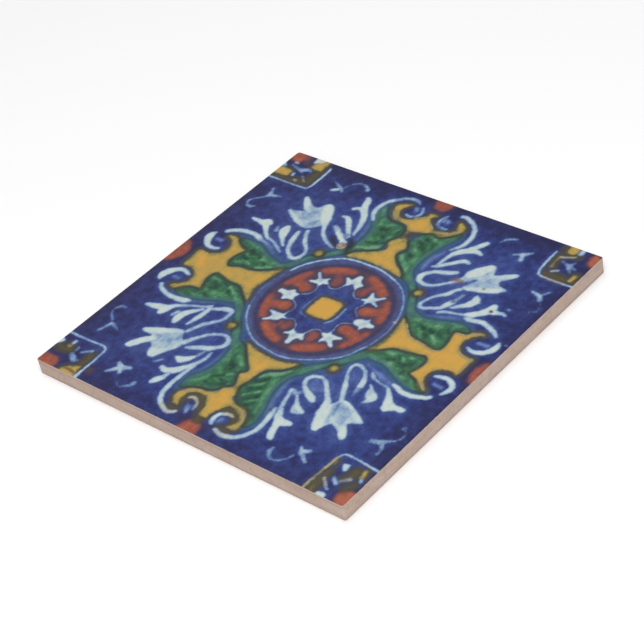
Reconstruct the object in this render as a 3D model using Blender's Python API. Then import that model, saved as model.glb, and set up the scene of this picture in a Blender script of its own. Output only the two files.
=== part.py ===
# Square talavera wall tile, 150 mm a side, lying glazed face up on its bed face.
# Body and glaze are fired into one piece, so the tile is one solid.
# The origin is the middle of the bed face, with +Z up through the glazed face.

import bmesh
import bpy

# Driving dimensions, in metres
SIDE = 0.150  # edge to edge, the nominal six-inch tile
THICKNESS = 0.007  # bed face to glazed face
CORNER_RADIUS = 0.0008  # upright corners, seen from above
FACE_ARRIS = 0.0005  # the glaze rolls over the rim of the face
BED_ARRIS = 0.0004  # the pressed clay's lower rim is barely softened

# How finely each rounded edge is faceted
CORNER_STEPS = 8
FACE_ARRIS_STEPS = 4
BED_ARRIS_STEPS = 2

GLAZE_BLUE = (0.045, 0.052, 0.19, 1.0)
GLAZE_ROUGHNESS = 0.3

FLAT = 1e-6  # two heights or places closer than this are the same


def clear_scene():
    for obj in list(bpy.data.objects):
        bpy.data.objects.remove(obj, do_unlink=True)


def glaze_material():
    """The cobalt glaze that covers the face, as one plain colour."""
    material = bpy.data.materials.new("cobalt_glaze")
    material.use_nodes = True
    shader = material.node_tree.nodes["Principled BSDF"]
    shader.inputs["Base Color"].default_value = GLAZE_BLUE
    shader.inputs["Roughness"].default_value = GLAZE_ROUGHNESS
    shader.inputs["Metallic"].default_value = 0.0
    return material


def slab(bm):
    """A sharp-edged slab that stands on z = 0."""
    bmesh.ops.create_cube(bm, size=1.0)
    bmesh.ops.scale(bm, vec=(SIDE, SIDE, THICKNESS), verts=bm.verts)
    bmesh.ops.translate(bm, vec=(0.0, 0.0, THICKNESS / 2), verts=bm.verts)


def round_edges(bm, edges, radius, steps):
    bmesh.ops.bevel(
        bm,
        geom=edges,
        offset=radius,
        offset_type="OFFSET",
        segments=steps,
        profile=0.5,
        affect="EDGES",
        clamp_overlap=True,
    )


def upright_edges(bm):
    return [e for e in bm.edges if abs(e.verts[0].co.z - e.verts[1].co.z) > THICKNESS / 2]


def rim_edges(bm, height):
    """The closed loop of edges round the flat face that lies at this height."""
    return [
        e
        for e in bm.edges
        if all(abs(v.co.z - height) < FLAT for v in e.verts)
        and any(abs(f.normal.z) < 0.5 for f in e.link_faces)
    ]


def make_tile():
    bm = bmesh.new()
    slab(bm)
    round_edges(bm, upright_edges(bm), CORNER_RADIUS, CORNER_STEPS)
    bm.normal_update()
    round_edges(bm, rim_edges(bm, THICKNESS), FACE_ARRIS, FACE_ARRIS_STEPS)
    bm.normal_update()
    round_edges(bm, rim_edges(bm, 0.0), BED_ARRIS, BED_ARRIS_STEPS)

    mesh = bpy.data.meshes.new("tile")
    bm.to_mesh(mesh)
    bm.free()
    mesh.shade_smooth()
    mesh.set_sharp_from_angle(angle=0.6)

    tile = bpy.data.objects.new("tile", mesh)
    tile.data.materials.append(glaze_material())
    bpy.context.scene.collection.objects.link(tile)
    return tile


clear_scene()
make_tile()
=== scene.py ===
import math
import bpy
import numpy as np
from mathutils import Matrix, Vector


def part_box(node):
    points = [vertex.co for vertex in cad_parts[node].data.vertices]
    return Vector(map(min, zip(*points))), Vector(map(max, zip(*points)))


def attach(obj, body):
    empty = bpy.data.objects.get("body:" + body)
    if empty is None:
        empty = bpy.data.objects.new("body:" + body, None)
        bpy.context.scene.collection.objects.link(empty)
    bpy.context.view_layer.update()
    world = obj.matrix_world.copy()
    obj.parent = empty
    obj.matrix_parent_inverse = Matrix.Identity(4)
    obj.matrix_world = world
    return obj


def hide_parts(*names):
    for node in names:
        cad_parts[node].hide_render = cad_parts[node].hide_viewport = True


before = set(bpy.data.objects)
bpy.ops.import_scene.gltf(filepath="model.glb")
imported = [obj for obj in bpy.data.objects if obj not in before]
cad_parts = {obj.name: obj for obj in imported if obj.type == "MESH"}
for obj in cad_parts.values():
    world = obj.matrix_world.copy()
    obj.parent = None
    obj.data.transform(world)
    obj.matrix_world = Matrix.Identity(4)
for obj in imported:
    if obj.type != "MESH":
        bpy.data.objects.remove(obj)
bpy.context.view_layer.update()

# One hand-painted tile lying flat: a fired clay body under a painted glaze face.
# The paint is laid out in millimetres on the face: x to the right, y up, zero in the middle.

tileLow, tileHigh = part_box("tile")
mm = 0.001
halfSide = (tileHigh[0] - tileLow[0]) / 2
faceHeight = tileHigh[2]
# the four upright corners, by the signs of x and y; each was rounded differently by hand
cornerRadii = {(1, 1): 0.7 * mm, (1, -1): 0.7 * mm, (-1, 1): 1.3 * mm, (-1, -1): 0.6 * mm}


def deselectAll():
    if bpy.context.object and bpy.context.object.mode != 'OBJECT':
        bpy.ops.object.mode_set(mode='OBJECT')
    bpy.ops.object.select_all(action='DESELECT')


def makeActive(obj):
    deselectAll()
    obj.select_set(True)
    bpy.context.view_layer.objects.active = obj


def tone(red, green, blue):
    def toLinear(value):
        value = value / 255
        return value / 12.92 if value <= 0.04045 else ((value + 0.055) / 1.055) ** 2.4
    return (toLinear(red), toLinear(green), toLinear(blue), 1.0)


# camera, floor and light

cameraPlace = {
    "azimuth": 48.045,       # degrees round the tile from the -Y side
    "elevation": 38.06,
    "roll": -12.026,
    "distance": 0.705,       # metres from the middle of the face
    "aimRight": 0.00033,
    "aimUp": -0.00534,
    "lens": 107.11,
    "sensor": 36.0,
    "nearest": 0.01,         # metres, where the view starts and ends
    "farthest": 20,
}


def setCamera(place):
    turn = math.radians(place["azimuth"])
    rise = math.radians(place["elevation"])
    roll = math.radians(place["roll"])
    back = Vector((math.sin(turn) * math.cos(rise), -math.cos(turn) * math.cos(rise), math.sin(rise)))
    right = Vector((math.cos(turn), math.sin(turn), 0))
    up = back.cross(right)
    spot = Vector((0, 0, faceHeight)) + back * place["distance"]
    spot += right * place["aimRight"] + up * place["aimUp"]
    rolledRight = math.cos(roll) * right + math.sin(roll) * up
    rolledUp = math.cos(roll) * up - math.sin(roll) * right
    bpy.ops.object.camera_add()
    camera = bpy.context.object
    camera.name = "photoCamera"
    camera.data.lens = place["lens"]
    camera.data.sensor_width = place["sensor"]
    camera.data.clip_start = place["nearest"]
    camera.data.clip_end = place["farthest"]
    turned = Matrix((rolledRight, rolledUp, back)).transposed().to_4x4()
    camera.matrix_world = Matrix.Translation(spot) @ turned
    bpy.context.scene.camera = camera


lightSetup = {
    "keyFrom": (0.42, -0.40, 0.82),    # direction of the big soft box, over the camera
    "keyDistance": 1.5,
    "keySize": 1.3,
    "keyPower": 18.0,
    "fillFrom": (-0.25, 0.1, 0.96),
    "fillDistance": 1.4,
    "fillSize": 1.0,
    "fillPower": 6.2,
    "roomLight": 0.29,
    "floorSize": 6.0,
    "floorColour": (0.96, 0.96, 0.96, 1),
    "floorRoughness": 0.9,
}


def addSoftBox(name, direction, distance, size, power):
    direction = Vector(direction).normalized()
    bpy.ops.object.light_add(type='AREA', location=direction * distance)
    lamp = bpy.context.object
    lamp.name = name
    lamp.data.shape = 'SQUARE'
    lamp.data.size = size
    lamp.data.energy = power
    lamp.rotation_mode = 'QUATERNION'
    lamp.rotation_quaternion = direction.to_track_quat('Z', 'Y')


def setStudio(setup):
    addSoftBox("keyLight", setup["keyFrom"], setup["keyDistance"], setup["keySize"], setup["keyPower"])
    addSoftBox("fillLight", setup["fillFrom"], setup["fillDistance"], setup["fillSize"], setup["fillPower"])
    world = bpy.data.worlds.new("room")
    world.use_nodes = True
    room = world.node_tree.nodes["Background"].inputs
    room["Color"].default_value = (1, 1, 1, 1)
    room["Strength"].default_value = setup["roomLight"]
    bpy.context.scene.world = world
    bpy.context.scene.view_settings.view_transform = 'Standard'
    bpy.ops.mesh.primitive_plane_add(size=setup["floorSize"])
    floor = bpy.context.object
    floor.name = "floor"
    paper = bpy.data.materials.new("paleFloor")
    paper.use_nodes = True
    surface = paper.node_tree.nodes["Principled BSDF"].inputs
    surface["Base Color"].default_value = setup["floorColour"]
    surface["Roughness"].default_value = setup["floorRoughness"]
    floor.data.materials.append(paper)


deselectAll()
setCamera(cameraPlace)
setStudio(lightSetup)
print("stage: camera, floor and light")


# node helpers, kept short so that the materials read from top to bottom

def addNode(tree, kind, inputs, **settings):
    made = tree.nodes.new(kind)
    for name, value in settings.items():
        setattr(made, name, value)
    for name, value in inputs.items():
        if isinstance(value, bpy.types.NodeSocket):
            tree.links.new(value, made.inputs[name])
        else:
            made.inputs[name].default_value = value
    return made


def maths(tree, operation, first, second=0.0, third=0.0, clamp=False):
    inputs = {0: first, 1: second}
    if operation == 'MULTIPLY_ADD':
        inputs[2] = third
    return addNode(tree, "ShaderNodeMath", inputs, operation=operation, use_clamp=clamp).outputs[0]


def softStep(tree, value, low, high):
    inputs = {"Value": value, "From Min": low, "From Max": high}
    return addNode(tree, "ShaderNodeMapRange", inputs, interpolation_type='SMOOTHSTEP').outputs["Result"]


def blendColours(tree, factor, under, over):
    return addNode(tree, "ShaderNodeMix", {0: factor, 6: under, 7: over}, data_type='RGBA').outputs[2]


def tint(tree, mask, amount, under, over):
    # the upper colour at a set share of the mask
    return blendColours(tree, maths(tree, 'MULTIPLY', mask, amount), under, over)


def opposite(tree, value):
    return maths(tree, 'SUBTRACT', 1.0, value)


def ramp(tree, factor, stops):
    made = addNode(tree, "ShaderNodeValToRGB", {"Fac": factor})
    band = made.color_ramp
    while len(band.elements) < len(stops):
        band.elements.new(0.5)
    for element, (place, colour) in zip(band.elements, stops):
        element.position = place
        element.color = colour
    return made.outputs["Color"]


def noise(tree, where, scale, detail=2.0, rough=0.5):
    inputs = {"Vector": where, "Scale": scale, "Detail": detail, "Roughness": rough}
    return addNode(tree, "ShaderNodeTexNoise", inputs).outputs["Fac"]


def startGroup(name, inputs, outputs):
    group = bpy.data.node_groups.new(name, "ShaderNodeTree")
    for label, kind, value in inputs:
        socket = group.interface.new_socket(name=label, in_out='INPUT', socket_type=kind)
        if value is not None:
            socket.default_value = value
    for label, kind in outputs:
        group.interface.new_socket(name=label, in_out='OUTPUT', socket_type=kind)
    return group, group.nodes.new("NodeGroupInput").outputs, group.nodes.new("NodeGroupOutput").inputs


def useGroup(tree, group, inputs):
    return addNode(tree, "ShaderNodeGroup", inputs, node_tree=group).outputs


def millimetres(tree):
    place = tree.nodes.new("ShaderNodeTexCoord").outputs["Object"]
    return addNode(tree, "ShaderNodeMapping", {"Vector": place, "Scale": (1 / mm,) * 3}).outputs["Vector"]


def addBump(tree, height, relief):
    inputs = {"Height": height, "Strength": relief["strength"], "Distance": relief["distance"]}
    return addNode(tree, "ShaderNodeBump", inputs).outputs["Normal"]


# the fired clay, seen on the sides and the bed

clayLook = {
    "body": tone(190, 168, 155),
    "pale": tone(196, 176, 165),
    "warm": tone(173, 144, 130),
    "pore": tone(122, 98, 88),
    "layer": tone(170, 148, 137),
    # painted shade: a darker clay colour laid along the foot of the sides, next to the bed
    "bedShade": tone(122, 108, 102),
    "scorch": tone(160, 126, 110),
    "broadScale": 0.12,      # every scale is per millimetre
    "grainScale": 0.55,
    "poreScale": 1.6,
    "scatterScale": 0.9,     # where pores come thicker
    "layerScale": (0.05, 0.05, 2.4),
    "broadSpan": (0.35, 0.68),      # where in the noise each change starts and is complete
    "grainSpan": (0.46, 0.7),
    "scatterSpan": (0.55, 0.68),
    "layerSpan": (0.38, 0.62),
    "poreSize": (0.05, 0.22),
    "warmShare": 0.55,
    "layerShare": 0.45,
    "poreShare": 0.45,
    "poreDepth": 0.9,
    "bedShadeShare": 0.35,
    "bedShadeHeights": (0.2, 1.5),     # millimetres above the bed
    "scorchShare": 0.5,
    "scorchHeights": (5.0, 5.9),
    "scorchPlaces": (-74.0, -74.8),     # only the near left side is scorched
    "roughness": 0.86,
    "roughnessRange": 0.16,
    "specular": 0.25,
    "bump": {"strength": 0.35, "distance": 0.2 * mm},
}


def makeClayGroup(look):
    group, given, wanted = startGroup(
        "firedClay",
        [("Vector", "NodeSocketVector", None)],
        [("Color", "NodeSocketColor"), ("Roughness", "NodeSocketFloat"), ("Height", "NodeSocketFloat")])
    where = given["Vector"]
    broad = noise(group, where, look["broadScale"], 3.0)
    grain = noise(group, where, look["grainScale"], 5.0, 0.62)
    cells = addNode(group, "ShaderNodeTexVoronoi", {"Vector": where, "Scale": look["poreScale"]})
    poreMask = opposite(group, softStep(group, cells.outputs["Distance"], *look["poreSize"]))
    scatter = softStep(group, noise(group, where, look["scatterScale"], 1.0), *look["scatterSpan"])
    poreMask = maths(group, 'MULTIPLY', poreMask, scatter)
    colour = blendColours(group, softStep(group, broad, *look["broadSpan"]), look["body"], look["pale"])
    warmed = softStep(group, grain, *look["grainSpan"])
    colour = tint(group, warmed, look["warmShare"], colour, look["warm"])
    level = addNode(group, "ShaderNodeMapping",
                    {"Vector": where, "Scale": look["layerScale"]}).outputs["Vector"]
    layers = softStep(group, noise(group, level, 1.0, 3.0, 0.6), *look["layerSpan"])
    colour = tint(group, layers, look["layerShare"], colour, look["layer"])
    colour = tint(group, poreMask, look["poreShare"], colour, look["pore"])
    group.links.new(colour, wanted["Color"])
    smoothest = look["roughness"] - look["roughnessRange"] / 2
    roughness = maths(group, 'MULTIPLY_ADD', grain, look["roughnessRange"], smoothest)
    group.links.new(roughness, wanted["Roughness"])
    height = maths(group, 'SUBTRACT', grain, maths(group, 'MULTIPLY', poreMask, look["poreDepth"]))
    group.links.new(height, wanted["Height"])
    return group


clayGroup = makeClayGroup(clayLook)


def makeBisqueMaterial(look):
    material = bpy.data.materials.new("firedBisque")
    material.use_nodes = True
    tree = material.node_tree
    shader = tree.nodes["Principled BSDF"].inputs
    where = millimetres(tree)
    clay = useGroup(tree, clayGroup, {"Vector": where})
    place = addNode(tree, "ShaderNodeSeparateXYZ", {"Vector": where}).outputs
    # painted shade: the clay darkens towards the bed, where the bottom edge meets the floor
    bedShadeMask = opposite(tree, softStep(tree, place["Z"], *look["bedShadeHeights"]))
    colour = tint(tree, bedShadeMask, look["bedShadeShare"], clay["Color"], look["bedShade"])
    underGlaze = softStep(tree, place["Z"], *look["scorchHeights"])
    scorched = maths(tree, 'MULTIPLY', underGlaze, softStep(tree, place["Y"], *look["scorchPlaces"]))
    colour = tint(tree, scorched, look["scorchShare"], colour, look["scorch"])
    tree.links.new(colour, shader["Base Color"])
    tree.links.new(clay["Roughness"], shader["Roughness"])
    tree.links.new(addBump(tree, clay["Height"], look["bump"]), shader["Normal"])
    shader["Specular IOR Level"].default_value = look["specular"]
    return material


# the clay body

clayBody = {
    "inset": 0.00004,          # the glaze skin laps over the body by this much
    "top": faceHeight - 0.75 * mm,
    "cornerSteps": 6,
    "bedArris": 0.4 * mm,
    "bedSteps": 3,
    "cutSpacing": 3.0 * mm,
    "cutHeights": (1.4 * mm, 2.7 * mm, 4.0 * mm, 5.2 * mm),
    "waviness": 0.00005,
    "waveSize": 9 * mm,
    "smoothAngle": 35,         # degrees
}


def makeClayBody(sizes):
    width = 2 * (halfSide - sizes["inset"])
    bpy.ops.mesh.primitive_cube_add(size=1, location=(0, 0, sizes["top"] / 2))
    body = bpy.context.object
    body.name = "clayBody"
    body.scale = (width, width, sizes["top"])
    bpy.ops.object.transform_apply(location=True, rotation=True, scale=True)

    def pickEdges(test):
        bpy.ops.object.mode_set(mode='EDIT')
        bpy.ops.mesh.select_mode(type='EDGE')
        bpy.ops.mesh.select_all(action='DESELECT')
        bpy.ops.object.mode_set(mode='OBJECT')
        for edge in body.data.edges:
            edge.select = test(*(body.data.vertices[i].co for i in edge.vertices))
        bpy.ops.object.mode_set(mode='EDIT')

    def isUpright(a, b):
        return abs(a.z - b.z) > sizes["top"] / 2

    for (signX, signY), radius in cornerRadii.items():
        pickEdges(lambda a, b: isUpright(a, b) and min(a.x * signX, a.y * signY) > 0)
        bpy.ops.mesh.bevel(offset=radius, segments=sizes["cornerSteps"], affect='EDGES')
        bpy.ops.object.mode_set(mode='OBJECT')
    pickEdges(lambda a, b: max(a.z, b.z) < 0.01 * mm)       # the edges on the bed
    bpy.ops.mesh.bevel(offset=sizes["bedArris"], segments=sizes["bedSteps"], affect='EDGES')
    cuts = int(width / sizes["cutSpacing"])
    for step in range(1, cuts):
        along = -width / 2 + step * width / cuts
        for normal in ((1, 0, 0), (0, 1, 0)):
            bpy.ops.mesh.select_all(action='SELECT')
            bpy.ops.mesh.bisect(plane_co=tuple(along * n for n in normal), plane_no=normal)
    for height in sizes["cutHeights"]:
        bpy.ops.mesh.select_all(action='SELECT')
        bpy.ops.mesh.bisect(plane_co=(0, 0, height), plane_no=(0, 0, 1))
    bpy.ops.mesh.select_all(action='SELECT')
    bpy.ops.mesh.normals_make_consistent(inside=False)
    bpy.ops.object.mode_set(mode='OBJECT')

    # the sawn-off straightness goes: pressed clay is a little wavy along its sides
    clouds = bpy.data.textures.new("sideWaves", 'CLOUDS')
    clouds.noise_scale = sizes["waveSize"]
    waves = body.modifiers.new("waves", 'DISPLACE')
    waves.texture = clouds
    waves.texture_coords = 'OBJECT'
    waves.mid_level = 1.0
    waves.strength = sizes["waviness"]
    bpy.ops.object.modifier_apply(modifier="waves")
    bpy.ops.object.shade_smooth_by_angle(angle=math.radians(sizes["smoothAngle"]))
    body.data.materials.append(makeBisqueMaterial(clayLook))
    return body


clayPiece = makeClayBody(clayBody)
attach(clayPiece, "root")
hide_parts("tile")
print("stage: clay body,", len(clayPiece.data.polygons), "faces")


# the glaze skin: a fine grid that follows the rounded square, turned down over the arris

glazeSkin = {
    "cells": 288,
    "arris": 0.45 * mm,
    "arrisSteps": 4,
    "skirtFoot": faceHeight - 0.9 * mm,
    "mapInset": 0.004,          # free border of the flat texture map
    "mapSpan": 0.982,
    "underInset": 0.99,         # where the hidden underside starts, and how much it takes
    "underSpan": 0.008,
    "smoothAngle": 40,          # degrees
}
tiny = 1e-9                     # keeps a division from meeting nought


def cornerSpans(spots, half):
    # for each rounded corner its signs, where its arc is centred and how far each point lies beyond that
    for (signX, signY), radius in cornerRadii.items():
        centre = half - (radius - glazeSkin["arris"])
        yield signX, signY, centre, spots[:, 0] * signX - centre, spots[:, 1] * signY - centre


def roundCorners(spots, half):
    # squares near a corner are drawn in to the arc, ring by ring
    for signX, signY, centre, acrossX, acrossY in cornerSpans(spots, half):
        inside = (acrossX > 0) & (acrossY > 0)
        insideX, insideY = acrossX[inside], acrossY[inside]
        scale = np.maximum(insideX, insideY) / np.maximum(np.hypot(insideX, insideY), tiny)
        spots[inside, 0] = signX * (centre + insideX * scale)
        spots[inside, 1] = signY * (centre + insideY * scale)


def outwardFrom(spots, half):
    # the way straight out from the rim, on the arcs and then on the straight sides
    outward = np.zeros((len(spots), 2))
    for signX, signY, _, acrossX, acrossY in cornerSpans(spots, half):
        here = (acrossX > -1e-7) & (acrossY > -1e-7)
        size = np.maximum(np.hypot(acrossX, acrossY), tiny)
        outward[here, 0] = (signX * acrossX / size)[here]
        outward[here, 1] = (signY * acrossY / size)[here]
    straight = np.hypot(outward[:, 0], outward[:, 1]) < 0.5
    onX = np.abs(spots[:, 0]) > np.abs(spots[:, 1])
    outward[straight & onX, 0] = np.sign(spots[straight & onX, 0])
    outward[straight & ~onX, 1] = np.sign(spots[straight & ~onX, 1])
    return outward


def meshSpots(mesh):
    flat = np.empty(len(mesh.vertices) * 3)
    mesh.vertices.foreach_get("co", flat)
    return flat.reshape(-1, 3)


def putSpots(mesh, spots):
    mesh.vertices.foreach_set("co", spots.ravel())
    mesh.update()


def planKeys(plan):
    return [tuple(np.round(spot * 1e7).astype(int)) for spot in plan]


def matchPlan(found, known):
    # which of the known places each found place is
    knownKeys = {key: i for i, key in enumerate(planKeys(known))}
    order = np.empty(len(found), dtype=int)
    for i, key in enumerate(planKeys(found)):
        if key in knownKeys:
            order[i] = knownKeys[key]
        else:
            order[i] = int(np.argmin(np.hypot(*(known - found[i]).T)))
    return order


def ringLevels(sizes):
    # how far out, how far down and how far along the side each ring of the turned-down edge lies
    arris = sizes["arris"]
    drop = faceHeight - sizes["skirtFoot"]
    levels = []
    for step in range(1, sizes["arrisSteps"] + 1):
        angle = step / sizes["arrisSteps"] * math.pi / 2
        levels.append((arris * math.sin(angle), arris * (1 - math.cos(angle)), arris * angle))
    return levels + [(arris, drop, arris * math.pi / 2 + drop - arris)]


def makeGlazeMesh(sizes):
    half = halfSide - sizes["arris"]
    cells = sizes["cells"]
    bpy.ops.mesh.primitive_grid_add(x_subdivisions=cells, y_subdivisions=cells, size=2 * half)
    skin = bpy.context.object
    skin.name = "glazeSkin"
    spots = meshSpots(skin.data)
    rim = np.maximum(np.abs(spots[:, 0]), np.abs(spots[:, 1])) > half - 1e-6
    roundCorners(spots, half)
    spots[:, 2] = faceHeight
    putSpots(skin.data, spots)
    home = spots[:, :2].copy()      # where each point's paint is read from
    slide = np.zeros(len(spots))    # how far down the side it lies
    ringHome = spots[rim, :2]
    ringOut = outwardFrom(ringHome, half)

    bpy.ops.object.mode_set(mode='EDIT')
    bpy.ops.mesh.select_mode(type='VERT')
    bpy.ops.mesh.select_all(action='DESELECT')
    bpy.ops.mesh.select_non_manifold()
    lastOut = 0.0
    for reachOut, down, along in ringLevels(sizes):
        bpy.ops.mesh.extrude_edges_move(TRANSFORM_OT_translate={"value": (0, 0, -0.1 * mm)})
        bpy.ops.object.mode_set(mode='OBJECT')
        spots = meshSpots(skin.data)
        fresh = len(spots) - len(ringHome)
        # each new ring point lies straight under the one it came from
        order = matchPlan(spots[fresh:, :2], ringHome + ringOut * lastOut)
        spots[fresh:, :2] = ringHome[order] + ringOut[order] * reachOut
        spots[fresh:, 2] = faceHeight - down
        putSpots(skin.data, spots)
        home = np.vstack([home, ringHome[order]])
        slide = np.concatenate([slide, np.full(len(order), along)])
        lastOut = reachOut
        bpy.ops.object.mode_set(mode='EDIT')
    bpy.ops.mesh.edge_face_add()
    bpy.ops.mesh.select_all(action='SELECT')
    bpy.ops.mesh.normals_make_consistent(inside=False)
    bpy.ops.object.mode_set(mode='OBJECT')
    return skin, home, slide, half


glazePiece, paintHome, sideSlide, faceHalf = makeGlazeMesh(glazeSkin)
faceX = paintHome[:, 0] / mm
faceY = paintHome[:, 1] / mm
print("stage: glaze skin,", len(glazePiece.data.vertices), "points")


# brushes: each coat keeps how far inside its paint a point lies (mm) and how thick the paint is

farOff = -4.0           # millimetres; paint farther away than this isn't measured
thinStroke = {"from": 0.5, "to": 1.4, "load": 0.74}     # a narrow stroke carries less enamel


def newCoat():
    return {"reach": np.full(len(faceX), farOff), "load": np.zeros(len(faceX))}


def smoothstep(low, high, value):
    part = np.clip((value - low) / (high - low), 0, 1)
    return part * part * (3 - 2 * part)


def smoothPath(points, closed=False, steps=5):
    # a rounded line through the points that were set down
    spots = np.array(points, dtype=float)
    if len(spots) < 3:
        return spots
    if closed:
        padded = np.vstack([spots[-1:], spots, spots[:2]])
    else:
        padded = np.vstack([2 * spots[:1] - spots[1:2], spots, 2 * spots[-1:] - spots[-2:-1]])
    path = []
    for a, b, c, d in zip(padded, padded[1:], padded[2:], padded[3:]):
        for step in range(steps):
            t = step / steps
            path.append(0.5 * (2 * b + (c - a) * t + (2 * a - 5 * b + 4 * c - d) * t ** 2
                               + (3 * b - a - 3 * c + d) * t ** 3))
    if not closed:
        path.append(spots[-1])
    return np.array(path)


def nearby(path, margin):
    lowX, lowY = path[:, 0].min() - margin, path[:, 1].min() - margin
    highX, highY = path[:, 0].max() + margin, path[:, 1].max() + margin
    return np.nonzero((faceX > lowX) & (faceX < highX) & (faceY > lowY) & (faceY < highY))[0]


def alongLine(x, y, ax, ay, bx, by):
    # the part of the line at which each point is nearest to it, and how far away it is there
    runX, runY = bx - ax, by - ay
    length = max(runX * runX + runY * runY, tiny)
    part = np.clip(((x - ax) * runX + (y - ay) * runY) / length, 0, 1)
    return part, np.hypot(x - ax - part * runX, y - ay - part * runY)


def strokeReach(path, here):
    # how far inside the stroke each point lies, and how wide the stroke is there
    x, y = faceX[here], faceY[here]
    if len(path) == 1:
        path = np.vstack([path, path])
    reach = np.full(len(here), farOff)
    width = np.full(len(here), path[0, 2])
    for (ax, ay, ar), (bx, by, br) in zip(path, path[1:]):
        part, away = alongLine(x, y, ax, ay, bx, by)
        brush = ar + (br - ar) * part
        inside = brush - away
        closer = inside > reach
        reach[closer] = inside[closer]
        width[closer] = brush[closer]
    return reach, width


def patchReach(path, here):
    # how far inside the outline each point lies
    x, y = faceX[here], faceY[here]
    gap = np.full(len(here), np.inf)
    inside = np.zeros(len(here), dtype=bool)
    for (ax, ay), (bx, by) in zip(path, np.roll(path, -1, axis=0)):
        gap = np.minimum(gap, alongLine(x, y, ax, ay, bx, by)[1])
        if ay != by:
            inside ^= ((ay > y) != (by > y)) & (x < ax + (y - ay) / (by - ay) * (bx - ax))
    return np.where(inside, gap, -gap)


def layPaint(coat, load, reach, here, soft=0.3):
    before = coat["reach"][here]
    cover = smoothstep(-soft, soft, reach)
    cover[(reach > before) & (before < 0)] = 1.0      # outside all paint the nearest stroke lends its load
    coat["load"][here] += (load - coat["load"][here]) * cover
    coat["reach"][here] = np.maximum(before, reach)


def stroke(coat, load, *points, closed=False, soft=0.3):
    path = smoothPath(points, closed)
    if closed:
        path = np.vstack([path, path[:1]])
    here = nearby(path, path[:, 2].max() - farOff)
    reach, width = strokeReach(path, here)
    if coat is white:
        least = thinStroke["load"]
        load = load * (least + (1 - least) * smoothstep(thinStroke["from"], thinStroke["to"], width))
    layPaint(coat, load, reach, here, soft)


def patch(coat, load, *points, grow=0.0):
    path = smoothPath(points, closed=True, steps=3)
    here = nearby(path, -farOff)
    layPaint(coat, load, patchReach(path, here) + grow, here)


def shade(coat, load, softness, *points):
    # a soft stroke that only changes how thick or dark the coat is
    path = smoothPath(points)
    here = nearby(path, softness + path[:, 2].max())
    cover = smoothstep(-softness, softness, strokeReach(path, here)[0])
    coat["load"][here] += (load - coat["load"][here]) * cover


def strokes(coat, table, soft=0.3):
    for load, *points in table:
        stroke(coat, load, *points, soft=soft)


def shades(coat, softness, table):
    for load, *points in table:
        shade(coat, load, softness, *points)


white, yellow, green, rust = newCoat(), newCoat(), newCoat(), newCoat()
# the dark coat holds grime and painted shade: beside the chip, in the pin holes and in the broken corner
ground, dark, harm, dirtAndShade = newCoat(), newCoat(), newCoat(), newCoat()
cream, teal = newCoat(), newCoat()      # tints: cream in the white, blue-green in the green
violet, haze = newCoat(), newCoat()     # casts in the ground: violet at the border, olive near the medallion
stain = newCoat()                       # brown stains on the face

yellowDots = ((27.3, 25), (27.3, -23.3), (-22, -23.6), (-21.6, 25.7))
dotRadius, dotClearance = 1.9, 2.5      # millimetres of yellow, and of bare ground under it


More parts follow.
